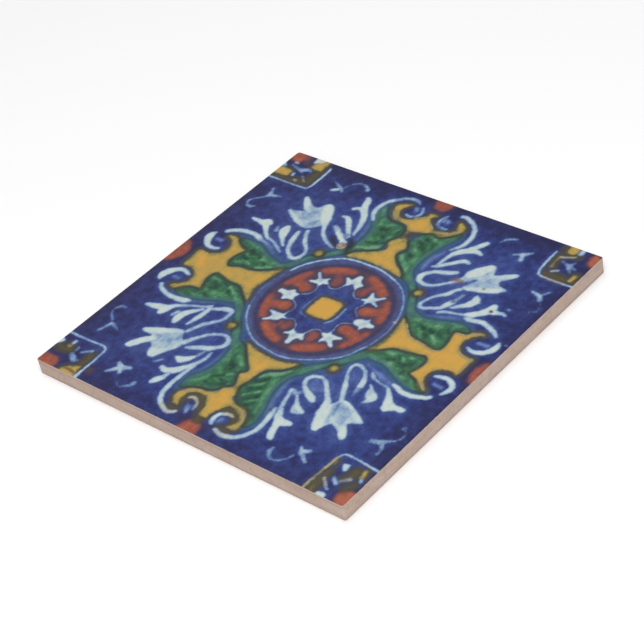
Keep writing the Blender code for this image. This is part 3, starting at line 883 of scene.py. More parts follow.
def paintMedallion():
    centreX, centreY = 2.4, 0.8

    def around(radius, width, count=24):
        turns = [2 * math.pi * i / count for i in range(count)]
        return [(centreX + radius * math.cos(t), centreY + radius * math.sin(t), width) for t in turns]

    # the band of blue covers whatever the arms left inside it
    bandRadius, bandStretch, bandGap = 29, 1.03, 0.2
    inBand = bandRadius - np.hypot((faceX - 2.2) / bandStretch, faceY - 0.5)
    for coat in (yellow, green):
        coat["reach"] = np.minimum(coat["reach"], np.clip(-inBand - bandGap, farOff, -farOff))
    # a dark ring with eight scallops turned inwards, then the bright rust on it
    stroke(rust, 0.12, *around(21.4, 3.9), closed=True)
    for x, y in ((8.7, 15.6), (17.4, 6.9), (17.2, -4.8), (8.8, -13.6), (-4.4, -13.6), (-12, -5), (-12, 7.4),
                 (-3.6, 15.5)):
        stroke(rust, 0.12, (x, y, 4.1))
    crescents = (
        ((-12.2, 19.2, 1.4), (-8, 21.6, 2.0), (-3, 23.2, 1.6)),
        ((7.2, 23.6, 1.4), (11.6, 21.4, 1.9), (16.6, 18.2, 1.3)),
        ((22, 14.5, 1.1), (24, 10.5, 1.8), (25.2, 6, 1.5)),
        ((25.8, -3.6, 1.2), (24.6, -7.4, 1.9), (22.8, -12.6, 1.3)),
        ((16, -16.8, 1.3), (11.6, -19.6, 2.0), (7.2, -21.6, 1.4)),
        ((-12, -16.8, 1.3), (-7, -19.8, 1.8), (-2.4, -21.4, 1.4)),
        ((-21, -3.4, 1.2), (-19.8, -8, 1.9), (-16.6, -13, 1.3)),
        ((-20.8, 6.4, 1.3), (-19, 10.6, 1.9), (-17, 14.6, 1.3)),
    )
    lobes = (
        (0.66, (-5.4, 18.6, 1.0), (-3.7, 14.6, 1.6)), (0.66, (10, 18.4, 1.0), (8.7, 14.8, 1.7)),
        (0.95, (21.4, 8.6, 1.8), (16.6, 6.8, 2.2)), (1.0, (21.4, -5.4, 1.8), (16.8, -4.6, 2.1)),
        (0.72, (9, -15.4, 1.5), (8.6, -12.6, 1.7)), (0.6, (-8, -15.6, 1.2), (-7, -13.6, 1.3)),
        (0.62, (-4, -14.4, 1.1), (-3.4, -12, 1.3)), (0.98, (-16.8, -5.9, 1.7), (-12.4, -4.7, 2.1)),
        (0.95, (-16.6, 8.2, 1.8), (-12.8, 7, 2.1)),
    )
    for points in crescents:
        shade(rust, 0.86, 1.5, *[(x, y, width + 0.5) for x, y, width in points])
    for load, *points in lobes:
        shade(rust, 0.88 * load, 1.2, *[(x, y, width + 0.35) for x, y, width in points])
    patch(yellow, 1.1, (-3.4, -2), (-3.4, 4.6), (-1.4, 6.6), (5.8, 6.7), (7.9, 4.8), (8, -2.4), (6.2, -4.4),
          (-1.4, -4.5), grow=-0.25)
    ring = (
        (0.85, (-16, 24.5, 0.5), (-11, 27.8, 0.55), (-6, 29, 0.6), (0, 29.3, 0.6), (5, 29.3, 0.6),
         (10, 28.3, 0.55), (15, 26.8, 0.5)),
        (0.58, (15, 26.8, 0.5), (19, 25, 0.5), (22.5, 22.3, 0.5), (25.5, 19, 0.5), (28, 15, 0.45),
         (30, 10.5, 0.45), (31, 6, 0.45)),
        (0.4, (31, 6, 0.4), (31.6, 1, 0.4), (31, -4.5, 0.4), (30.3, -8, 0.4)),
        (0.56, (30.3, -8, 0.45), (29, -10.5, 0.5), (27.5, -14.5, 0.5), (25, -18, 0.5), (22, -20.5, 0.5)),
        (0.56, (22, -20.5, 0.5), (17.5, -23.5, 0.55), (12.5, -26, 0.55), (8, -27.5, 0.6), (4, -28, 0.6),
         (0, -27.6, 0.6), (-5, -27, 0.55), (-10, -25.5, 0.5)),
        (0.62, (-10, -25.5, 0.5), (-14.5, -22.8, 0.5), (-18.5, -19.5, 0.5), (-22, -15.5, 0.5),
         (-24.5, -11, 0.45)),
        (0.3, (-24.5, -11, 0.4), (-26, -6, 0.35), (-26.8, -1, 0.35), (-25.8, 7, 0.4), (-24.5, 12, 0.45)),
        (0.86, (-24.5, 12, 0.45), (-23, 16, 0.5), (-20, 20.5, 0.5), (-16, 24.5, 0.5)),
    )
    for load, *points in ring:
        stroke(white, 1.6 * load, *[(x, y, 0.35 * width) for x, y, width in points])
    # pale arcs that edge the scallops, and thin marks beside the yellow middle
    for points in (
            ((-8.8, 10.5), (-7.9, 7.7), (-8.8, 5), (-11.5, 3.2)),
            ((-11.5, -0.9), (-8.8, -2.7), (-7.9, -5), (-8.8, -7.7)),
            ((-6.5, -10.5), (-3.8, -9.5), (-1.1, -11.4), (0, -13.2)),
            ((5.3, -13.2), (6.6, -10.5), (8.9, -9.5), (11.2, -10.5)),
            ((13.5, -7.3), (13, -4.5), (13.9, -2.3), (16.9, -0.9)),
            ((16.2, 3.2), (13.5, 5.5), (13, 7.7), (13.9, 9.5)),
            ((10.7, 11.8), (8.5, 11.4), (6.6, 12.7), (5.7, 14.1)),
            ((-0.2, 14.1), (-1.5, 12), (-3.8, 11.4), (-6, 12.7))):
        stroke(white, 0.68, *[(x, y, 0.12) for x, y in points])
    stroke(white, 0.45, (-4.9, 4.6, 0.2), (-5.2, 0, 0.25), (-4.4, -5.0, 0.3), (0, -6.2, 0.2))
    stroke(white, 0.72, (9.5, 4.6, 0.2), (9.9, 1, 0.3), (9.6, -2.6, 0.3), (8, -5.4, 0.25))
    fleurons = (
        ((1.3, 22.4), (2.5, 23), (3.7, 22.3), (4.4, 20), (6.9, 18.4), (5.7, 16.8), (5.5, 14.6), (4.2, 15.6),
         (2.5, 16.8), (0.9, 15.4), (-0.3, 14), (-0.4, 16.4), (-2.2, 18.9), (-1.6, 19.8), (0.3, 19.4)),
        ((12.2, 16.9), (13.4, 17), (14.6, 15.4), (16.4, 15.6), (18.4, 17.2), (19.1, 16.2), (17.2, 14.2),
         (16.8, 13), (19, 11.9), (18.6, 10.9), (16, 11.6), (14.6, 11.2), (13.8, 9.6), (13, 11.2),
         (10.9, 11.4), (11, 12.3), (12.6, 13.6)),
        ((16.8, 1.8), (18.4, 3.1), (20.4, 3.3), (21.6, 4.5), (22.6, 3), (25.2, 2.3), (25.7, 1.2), (24.8, 0.3),
         (22.6, -0.4), (21.4, -2.5), (20.2, -1.2), (18.2, -1.1), (16.8, 0)),
        ((13.2, -7.4), (14.4, -8.9), (16.2, -9), (19.2, -8.8), (19.3, -10), (17.5, -11), (17.3, -12),
         (19.3, -14.4), (18.4, -15.4), (15.6, -13.6), (14.4, -13.6), (13, -15), (12.2, -13.6), (12.4, -12.2),
         (10.7, -10.8), (11.1, -9.7), (12.6, -9.4)),
        ((-0.1, -12.7), (0.6, -13.9), (2.4, -14.6), (4.4, -14.2), (5.2, -12.6), (5.8, -14.6), (7.2, -16.4),
         (6.6, -17.4), (4.9, -17.1), (4.1, -18.4), (3.8, -20.8), (2.6, -21.7), (1.5, -20.6), (1, -18.2),
         (-0.1, -17.1), (-1.9, -17.6), (-2.4, -16.6), (-0.8, -15.5), (-0.5, -14)),
        ((-8.6, -7), (-9.2, -8.4), (-11.4, -9), (-14.9, -9.1), (-15.4, -10.2), (-13.4, -11), (-13.1, -12.6),
         (-14.9, -14.7), (-14, -15.6), (-11.6, -13.8), (-10, -13.6), (-8.8, -12.7), (-8.2, -11.4),
         (-6.2, -10.2), (-8.2, -9.4)),
        ((-11.6, 3.1), (-13.4, 3.1), (-14.8, 4.4), (-16.1, 3.8), (-17, 2.7), (-20, 2.5), (-20.7, 1.2),
         (-20.1, 0), (-17.4, -0.4), (-16.6, -2.4), (-15.5, -2.4), (-14.2, -1.4), (-11.8, -1), (-12.2, 0.8)),
        ((-14, 16.4), (-13, 17.1), (-11, 15), (-9.4, 14.8), (-7.2, 16), (-7.2, 14.4), (-5.8, 12.6),
         (-7.8, 11.7), (-8.7, 10), (-10.2, 10.8), (-13.3, 10.6), (-14, 11.6), (-12.2, 12.6), (-12.1, 14)),
    )
    for points in fleurons:
        patch(white, 1.04, *points, grow=-0.4)
        middle = np.mean(points, axis=0)
        shade(white, 0.66, 1.2, (*middle, 1.5))


def paintFrontQuarter():
    patch(white, 0.62, (40.6, -34.6), (44, -34.4), (48, -36), (52, -38), (55.2, -40.2), (53.5, -41.8),
          (50.4, -43), (52, -45.6), (54.6, -49), (53.6, -50.6), (51.4, -49.6), (48.4, -46.8), (45.6, -46.2),
          (44.2, -49), (42.8, -51.8), (40.6, -51), (38.4, -47), (36.6, -43.6), (37, -40), (39.4, -37.4),
          grow=-0.2)
    strokes(white, (
        (1.5, (41.6, -34.9, 0.3), (45, -35.6, 0.4), (48, -37, 0.5)),
        (0.95, (48, -37.4, 0.6), (50.4, -38.9, 1.1), (52.8, -40, 1.1), (54.3, -40.5, 0.6)),
        (0.95, (53.4, -41, 0.5), (51.2, -41.8, 0.6), (49.8, -43, 0.6)),
        (0.98, (49.8, -44, 0.7), (51, -46.6, 1.3), (52.4, -48.4, 1.5), (53.2, -49.6, 1.0)),
        (0.9, (45, -45.4, 0.7), (47.5, -45.6, 0.8), (50, -46.8, 1)),
        (1.0, (38.5, -40, 1.6), (39.4, -43, 2.0), (40.6, -46.5, 2.1), (41.6, -49, 1.9),
         (42, -50.4, 1.4))), soft=0.7)
    shade(white, 0.5, 1.3, (43.4, -37.6, 1.2), (46, -40, 1.9), (46.8, -43, 1.4))
    shade(white, 0.72, 0.6, (43.4, -42.2, 0.2), (44, -44.8, 0.3))
    shade(white, 0.68, 0.6, (46.4, -38.6, 0.2), (48.8, -41, 0.3))
    shade(white, 0.34, 0.9, (41.4, -36.8, 0.4), (42.6, -40, 0.6), (43.6, -42.6, 0.4))
    shade(white, 0.66, 1.0, (44.4, -43.4, 0.7), (47.6, -43.8, 0.5))
    patch(white, 0.6, (45, -23.8), (47.5, -25.6), (51.2, -28.9), (50.4, -30.6), (47.8, -32.6), (48, -30.5),
          (46.8, -28.5), (46, -26))
    patch(white, 0.55, (25.5, -41), (27.7, -43.7), (30.2, -45.8), (33.7, -47.2), (30.2, -48.7), (28.6, -47.2),
          (27.3, -45))
    patch(white, 0.95, (50.5, -21.2), (54.6, -24.2), (56.6, -26.3), (59, -27.6), (63.3, -27.6), (63, -29.6),
          (60.5, -29.7), (58, -31.6), (56.8, -32), (55.5, -31.2), (54.2, -27.5), (52.8, -24.8))
    patch(white, 0.95, (25.5, -48.5), (27, -51), (29, -52.5), (32.8, -52.7), (33.8, -54), (31.3, -55.6),
          (30.4, -56.2), (31, -58.5), (32.6, -62.3), (31.6, -63), (30, -62.3), (28.8, -59.8), (28, -57),
          (26.5, -54.5), (25, -51.5))
    strokes(white, (
        (0.5, (21.8, -39.7, 1), (24.5, -40, 1), (26, -38.5, 0.8)),
        (0.92, (41, -35, 0.9), (39.3, -32.5, 0.8), (37.4, -29, 1), (36, -26.8, 0.75), (34.3, -24, 0.6),
         (33, -21.5, 0.55), (32.5, -19.5, 0.6), (33.2, -18, 0.7), (35, -17.5, 0.7), (37.3, -18.3, 0.65),
         (39.3, -20, 0.7), (40.8, -22.3, 0.85), (41.8, -24.8, 1.1), (42, -26.6, 0.9)),
        (0.45, (42.2, -27.5, 0.9), (42.4, -29, 0.8), (42.8, -31, 0.5)),
        (1.0, (44.8, -23.6, 0.35), (47, -25.6, 0.6), (49.3, -27.2, 0.8), (50.6, -28.8, 0.8),
         (49.9, -30.3, 0.6)),
        (0.95, (46, -26, 0.4), (47.2, -28.3, 0.8), (48.7, -29.3, 0.9)),
        (0.75, (41.3, -18.3, 0.5), (42.5, -19.5, 0.8), (44.5, -20.6, 0.55), (47.5, -21.3, 0.4),
         (50.5, -21.5, 0.5)),
        (1.15, (51.7, -19.5, 0.6), (53.7, -20, 0.8), (56, -21, 0.9), (61, -21, 0.9), (65.7, -19.3, 0.8),
         (67, -18.2, 0.7)),
        (1.12, (61.7, -8.7, 0.5), (63, -8.2, 0.7), (65, -7.7, 0.8), (67, -7.8, 0.9), (68.8, -8.7, 0.95),
         (70.2, -10, 0.9), (70.7, -11.7, 0.9), (70.2, -13.3, 0.8), (69.3, -15.2, 0.5)),
        (0.9, (38, -40.5, 1.6), (37, -38, 1.2), (35.3, -36, 0.95), (33, -33.7, 0.8), (31, -31.6, 0.8),
         (29, -30, 0.75), (26.8, -29.3, 0.7), (24.5, -29.9, 0.75), (23, -31.5, 0.9), (22.8, -33.3, 0.8),
         (24, -35.3, 0.75), (26, -37, 0.9), (28.3, -38.3, 1.2), (30.5, -39.3, 1.3), (32, -40.3, 1)),
        (1.0, (25.3, -40.8, 0.35), (27.3, -43.4, 0.6), (29.8, -45.6, 0.9), (32.6, -46.9, 0.8)),
        (0.85, (28, -46, 0.5), (29.7, -48, 0.8), (31.8, -47.9, 0.7)),
        (0.8, (21.5, -39.8, 0.7), (22.6, -42.5, 0.7), (23.6, -46, 0.75), (25, -49.3, 0.9),
         (26.6, -51.8, 1.2)),
        (0.9, (23.2, -50, 0.6), (23.8, -53.5, 1), (24.5, -56.4, 0.95), (24.8, -59.6, 0.9), (24.5, -62.5, 0.9),
         (23.5, -65.1, 0.9), (21.9, -67.4, 0.9), (19.6, -69, 0.9), (17, -69.9, 0.9), (14.8, -70.1, 0.8),
         (12.8, -69.5, 0.7), (11.5, -69, 0.5)),
        (0.36, (9.6, -65.6, 0.6), (10.4, -64, 0.8)),
        (0.84, (12.8, -61, 0.4), (11.5, -60.8, 0.6), (9.6, -61.2, 0.7), (8.2, -62, 0.7)),
        (1.05, (7.9, -62.2, 0.7), (7.2, -64.1, 0.8), (7.5, -66.1, 0.8), (8.3, -67.6, 0.5)),
        (0.5, (36, -65.5, 0.5), (36, -67.5, 0.8), (37.2, -69.3, 0.7), (39.5, -70.2, 0.55), (41.8, -69.3, 0.4),
         (43.5, -67.3, 0.35), (44.5, -65, 0.35)),
        (0.62, (44.3, -60.3, 0.6), (46, -62, 1)), (0.65, (48, -60.5, 0.8), (46, -62, 1)),
        (0.55, (46, -62.5, 1), (50.3, -65.4, 0.5)),
        (0.36, (69.3, -35.3, 0.9), (70.3, -36, 0.5), (71.5, -37.8, 0.4), (71.4, -40, 0.4), (70, -42, 0.5)),
        (0.5, (70.2, -41.8, 0.4), (67.5, -43.7, 0.8), (66.8, -44.5, 1.2)),
        (0.48, (66.5, -45, 1.1), (63.3, -45.7, 0.9)),
        (0.5, (67.5, -45.5, 0.8), (68.8, -47.5, 0.6), (69, -49.8, 0.5))))
    shade(cream, 0.85, 0.9, (9.6, -61.2, 0.6), (11.5, -60.8, 0.9), (13, -61, 0.8))
    shade(cream, 0.4, 1.2, (11.6, -69, 1.0), (14.8, -70.1, 1.0), (17.6, -69.8, 0.8))


def paintRightQuarter():
    patch(white, 0.62, (36.75, 40.5), (35.75, 44.25), (38.5, 47.5), (40, 50), (42.5, 51.75), (44.5, 51),
          (45.25, 48.5), (46.5, 47), (49, 48), (51.5, 50), (53.5, 51.5), (54.75, 50.5), (52, 46.5),
          (50.5, 45), (50.5, 43.5), (52, 42), (54.5, 42), (55.75, 41.25), (52, 38.5), (46, 36), (42.5, 35.25),
          (40, 35), grow=-0.2)
    strokes(white, (
        (1.0, (42.3, 50, 1.5), (41, 47.5, 2.2), (39.5, 45.5, 2.2), (38.2, 42.6, 1.3)),
        (0.66, (43.4, 46, 1.0), (45.4, 43.6, 1.0)),
        (0.92, (46.4, 46.2, 0.6), (49, 47.4, 1.0), (51.5, 49, 1.2), (53.2, 50.2, 1.1)),
        (0.9, (50, 43.6, 0.5), (51.4, 42, 0.7), (54.4, 41.4, 0.7)),
        (1.0, (41, 35.6, 0.8), (45, 36.8, 1.1), (49, 38.4, 1.3), (52.5, 40, 1.2))), soft=0.7)
    shade(white, 0.54, 1.4, (43.4, 40.2, 1.8), (46.8, 42, 1.8), (45.4, 44, 1.2))
    shade(white, 0.1, 1.0, (38.8, 36.8, 1.0), (40.6, 39.2, 1.1), (41.8, 41.2, 0.5))
    stroke(white, 1.1, (37.6, 42.6, 0.5), (36.6, 39.8, 0.35))
    strokes(white, (
        (0.9, (40, 34.5, 0.8), (38.5, 32.5, 0.8), (37.5, 30, 1), (35, 27.5, 0.7), (33.5, 25.5, 0.6),
         (32.5, 23, 0.6), (32, 20.5, 0.7), (33, 19, 0.7), (34.5, 19, 0.7), (36.5, 20, 0.7), (39, 21.5, 0.8),
         (40.3, 22.5, 0.9), (41, 24.5, 1.2), (42, 27, 1.1)),
        (0.6, (42, 27, 1.1), (42.7, 29.5, 0.8), (43.2, 32, 0.6)),
        (0.88, (37, 39.5, 1.0), (35, 36.6, 0.8), (33, 34.5, 0.7), (31, 32.5, 0.7), (29, 31, 0.75),
         (26.5, 30.25, 0.8), (24, 30.75, 0.9), (22.5, 32, 1.1), (22, 34, 1.2), (23, 36, 1), (25, 38, 0.9),
         (27.5, 39, 1), (30, 40, 1.1), (32.6, 41.6, 0.9)),
        (0.95, (33.3, 48.2, 0.6), (31.5, 48.5, 1), (29.5, 47.3, 1), (27.5, 45, 0.9), (25.5, 43, 0.9),
         (23.8, 41.3, 0.8), (22.3, 40.3, 0.5)),
        (0.95, (32, 61.3, 0.9), (31.2, 59.5, 1.2), (30, 57.3, 1.1), (29, 55.8, 1.2)),
        (0.92, (34.3, 54.6, 0.6), (32.5, 55.2, 0.9), (30.5, 55, 1.3), (28.3, 54, 1.5), (26.3, 52.3, 1.4),
         (24.8, 50.3, 1.1), (24, 47.5, 0.8), (23.7, 44.5, 0.7), (23.5, 42, 0.6)),
        (0.9, (13.5, 70.5, 0.7), (15.1, 70.8, 0.8), (17.4, 70, 0.85), (19.9, 68.7, 0.85), (22.2, 66.6, 0.85),
         (23.8, 64.1, 0.85), (24.8, 60.8, 0.9), (24.9, 57.9, 0.9), (24.5, 55.4, 0.85), (22.2, 51.5, 0.5)),
        (0.42, (9.8, 66.2, 0.6), (11, 65.2, 0.9)),
        (0.7, (8.5, 68, 0.4), (7.6, 66.3, 0.6), (7.2, 64.1, 0.6), (7.8, 62.3, 0.5)),
        (0.46, (7.8, 62.3, 0.7), (9.4, 61.2, 0.8), (11.5, 60.8, 0.8), (12.8, 61.2, 0.5)),
        (0.38, (8.4, 66.6, 0.7), (8.6, 64.4, 0.9)),
        (0.85, (50.5, 23.3, 0.6), (47.5, 22.4, 0.5), (44.5, 21.7, 0.6), (42.3, 20.8, 0.8), (40.8, 19.6, 0.5)),
        (0.5, (50, 29.6, 0.6), (50.8, 31.4, 0.6)),
        (0.9, (43.5, 24.3, 0.5), (45.5, 26, 0.9), (47.3, 27.8, 1.2), (48.7, 29.8, 1.6), (49, 31.8, 1.5),
         (48, 33.5, 0.8)),
        (0.6, (52.5, 22.5, 1.1), (53.4, 22.6, 1.0)),
        (1.0, (50.8, 23.6, 0.9), (52.5, 24.6, 1.3), (54.7, 26.5, 1.4), (56.3, 28.7, 1.6), (57, 31, 1.5),
         (57, 32.2, 1.1)),
        (0.95, (57.5, 29.3, 1.5), (60, 29.7, 0.9), (62, 30.2, 0.7), (63.4, 29.9, 0.5)),
        (0.95, (51.7, 22, 0.7), (53.7, 21.7, 0.9), (57.7, 22.8, 1), (60.3, 22.5, 0.95), (65, 20.7, 0.85),
         (67.7, 18.8, 0.5)),
        (1.0, (70.8, 16.2, 0.5), (71.2, 14.7, 1), (71, 13, 1.2), (70.3, 11.3, 1.2), (69, 9.8, 1.1),
         (67.3, 8.8, 1), (65.3, 8.3, 0.8), (63.5, 8.7, 0.6), (62.3, 9.2, 0.4)),
        (0.5, (36.25, 64.75, 0.5), (37, 66.5, 0.6), (39, 68, 0.6), (41, 68.75, 0.4)),
        (0.7, (48, 62, 1.0), (50.75, 64.5, 0.4)), (0.5, (48, 62, 0.9), (45, 60.5, 0.5)),
        (0.75, (48, 62, 0.9), (49.25, 59, 0.8)), (0.6, (68, 45, 0.9), (64, 46, 0.5)),
        (0.5, (68, 45, 0.8), (69.75, 48.5, 0.4)), (0.7, (68, 45, 0.8), (69.25, 43, 0.8)),
        (0.25, (70, 42.6, 0.5), (71, 41, 0.4), (72, 38, 0.4), (70.5, 35.5, 0.7), (69, 36, 0.5)),
        (0.4, (62.5, 33.25, 0.5), (63, 33.25, 0.5)), (0.4, (73.6, 16.75, 0.6), (73.9, 16.75, 0.6))))


def paintBackQuarter():
    patch(white, 0.6, (-51, 52.25), (-49, 52), (-44, 48.75), (-41.5, 49), (-40.25, 51.5), (-38.5, 52.75),
          (-36, 52.25), (-34.5, 50.5), (-32, 46), (-31.25, 45), (-32, 43), (-31.5, 41), (-34, 38),
          (-36.5, 35.75), (-39.5, 35.75), (-45, 38.25), (-48, 39.25), (-51.5, 41.75), (-46, 44), (-46, 45),
          (-48, 48), (-50, 50), grow=-0.2)
    strokes(white, (
        (0.98, (-50.6, 41.8, 0.7), (-47.5, 39.9, 0.9), (-43, 37.7, 1.0), (-38.8, 36.3, 0.7)),
        (0.95, (-50.2, 51.4, 0.8), (-48.3, 49.6, 1.3), (-46.4, 47.2, 1.2), (-45, 45.4, 0.8)),
        (1.0, (-38.2, 51, 1.4), (-36.8, 49, 2.1), (-35, 46, 2.1), (-33, 43, 1.6),
         (-31.4, 40.5, 0.9))), soft=0.7)
    shade(white, 0.52, 1.4, (-44.4, 42.6, 1.6), (-40.4, 42.6, 2.6), (-41, 47, 1.4))
    shade(white, 0.36, 1.0, (-37, 38.6, 0.9), (-36, 41.4, 0.9))
    patch(white, 0.95, (-60.8, 31.3), (-56.5, 31.8), (-55, 32.8), (-53.3, 33.3), (-51.2, 31.7), (-51.4, 29.8),
          (-48.7, 26.2), (-45.5, 23.3), (-47.3, 23.4), (-51.5, 26.8), (-53.5, 28.6), (-56, 29.4),
          (-60.5, 30.4))
    strokes(white, (
        (0.9, (-32, 41.5, 0.9), (-29.5, 37.5, 0.8), (-26.5, 34.5, 0.7), (-23, 32.5, 0.7),
         (-19.5, 31.25, 0.6)),
        (0.85, (-35, 34.5, 0.8), (-34, 32.5, 0.8), (-32.5, 30, 0.9), (-30.5, 27.75, 0.8), (-28, 25.5, 0.7),
         (-26.75, 23, 0.7), (-27, 20.5, 0.9), (-28, 19, 0.9), (-30, 18.5, 0.9), (-32, 19.75, 0.8),
         (-34, 21.5, 0.8), (-35.5, 24, 0.9), (-36.5, 26.5, 1.1), (-37.3, 29.5, 1.1), (-38, 32.5, 0.7)),
        (0.95, (-44, 32.8, 1), (-43.6, 30.5, 1.9), (-42.3, 28, 1.4), (-40.8, 26, 0.9), (-39, 24, 0.6),
         (-37.7, 22.8, 0.5)),
        (0.5, (-47.6, 31, 0.7), (-46.6, 29, 0.9)),
        (0.8, (-45.5, 23.6, 0.6), (-43, 22.9, 0.5), (-40.5, 21.6, 0.6), (-38.3, 20.4, 0.6),
         (-36.3, 19.3, 0.4)),
        (0.88, (-64.3, 19.3, 0.9), (-62.7, 20.7, 0.95), (-60.7, 21.8, 1), (-58.3, 22.7, 1), (-56, 23, 1),
         (-53.3, 23.2, 1), (-51, 22.7, 1.1), (-48.7, 21.7, 1)),
        (0.62, (-48.7, 21.7, 0.9), (-46.5, 21.3, 0.7), (-44, 20.6, 0.6)),
        (0.98, (-67.8, 16.2, 0.6), (-68.5, 14.7, 1.2), (-68.3, 13, 1.5), (-67.5, 11.3, 1.3),
         (-66.3, 9.8, 1.1), (-64.7, 8.7, 0.9), (-63, 8.3, 0.8), (-61.3, 8.5, 0.7), (-59.7, 9.2, 0.5)),
        (0.9, (-18.3, 36.3, 0.9), (-20.5, 37.5, 1.1), (-23, 39.3, 1.2)),
        (0.65, (-23, 39.3, 1.1), (-25, 40.8, 1.2), (-27.3, 42.3, 0.9)),
        (0.95, (-29, 48.7, 0.4), (-27, 48.9, 0.8), (-25.2, 47.8, 1.1), (-23.3, 45.6, 1.1), (-21.3, 43, 0.9),
         (-19.5, 40.7, 0.8), (-18.3, 39.3, 0.7)),
        (0.95, (-27.3, 62.6, 0.9), (-26.2, 60.8, 1.3), (-25.3, 58.3, 1.3), (-24, 56, 1.3), (-22.3, 54, 1.3),
         (-20.6, 51.5, 1.2), (-19.3, 48.5, 1), (-18.2, 45, 0.8), (-17.3, 41.5, 0.6)),
        (0.9, (-28.3, 54.6, 0.7), (-26.8, 55.6, 0.9), (-25, 56, 1.1), (-23, 54.8, 1.2)),
        (0.88, (-16.8, 52.8, 0.7), (-18.8, 55.4, 0.9), (-19.7, 57.9, 0.95), (-19.9, 60.5, 0.9),
         (-19.4, 63.1, 0.9), (-18.3, 65.4, 0.9), (-16.5, 67.3, 0.85)),
        (0.6, (-16.5, 67.3, 0.85), (-14.3, 69.2, 0.8), (-12, 70.4, 0.8), (-10.1, 70.8, 0.8),
         (-8.1, 70.5, 0.7), (-6.5, 69.4, 0.5)),
        (0.46, (-6, 66.4, 0.7), (-5.2, 65.4, 0.9)),
        (0.78, (-3.6, 67.8, 0.4), (-2.5, 66, 0.6), (-2.1, 64.1, 0.6), (-2.8, 62.3, 0.6)),
        (0.56, (-2.8, 62.3, 0.6), (-4.3, 61.2, 0.7), (-5.9, 61, 0.7), (-7.2, 61.7, 0.5)),
        (0.6, (-31.2, 66.8, 0.8), (-32, 68, 0.6), (-34, 69, 0.5)),
        (0.4, (-34, 69, 0.5), (-36.5, 69.25, 0.5), (-38.5, 68, 0.4), (-40, 66, 0.4), (-40.75, 64, 0.4)),
        (0.5, (-41.5, 62.5, 0.9), (-44, 64, 0.6), (-47, 65.25, 0.4)),
        (1.05, (-41.5, 62.5, 0.9), (-44.5, 60.5, 0.7)), (0.5, (-41.5, 62.5, 0.9), (-40, 61.25, 0.5)),
        (0.64, (-65.25, 46, 1.0), (-67, 50, 0.5)), (0.6, (-65.25, 46, 0.9), (-60.5, 47, 0.5)),
        (0.5, (-65.6, 45.4, 0.8), (-67, 43.5, 0.4), (-69.5, 41, 0.4), (-70.5, 39, 0.5), (-69.5, 36.75, 0.6),
         (-67.3, 36.2, 0.8), (-66, 37, 0.5))))


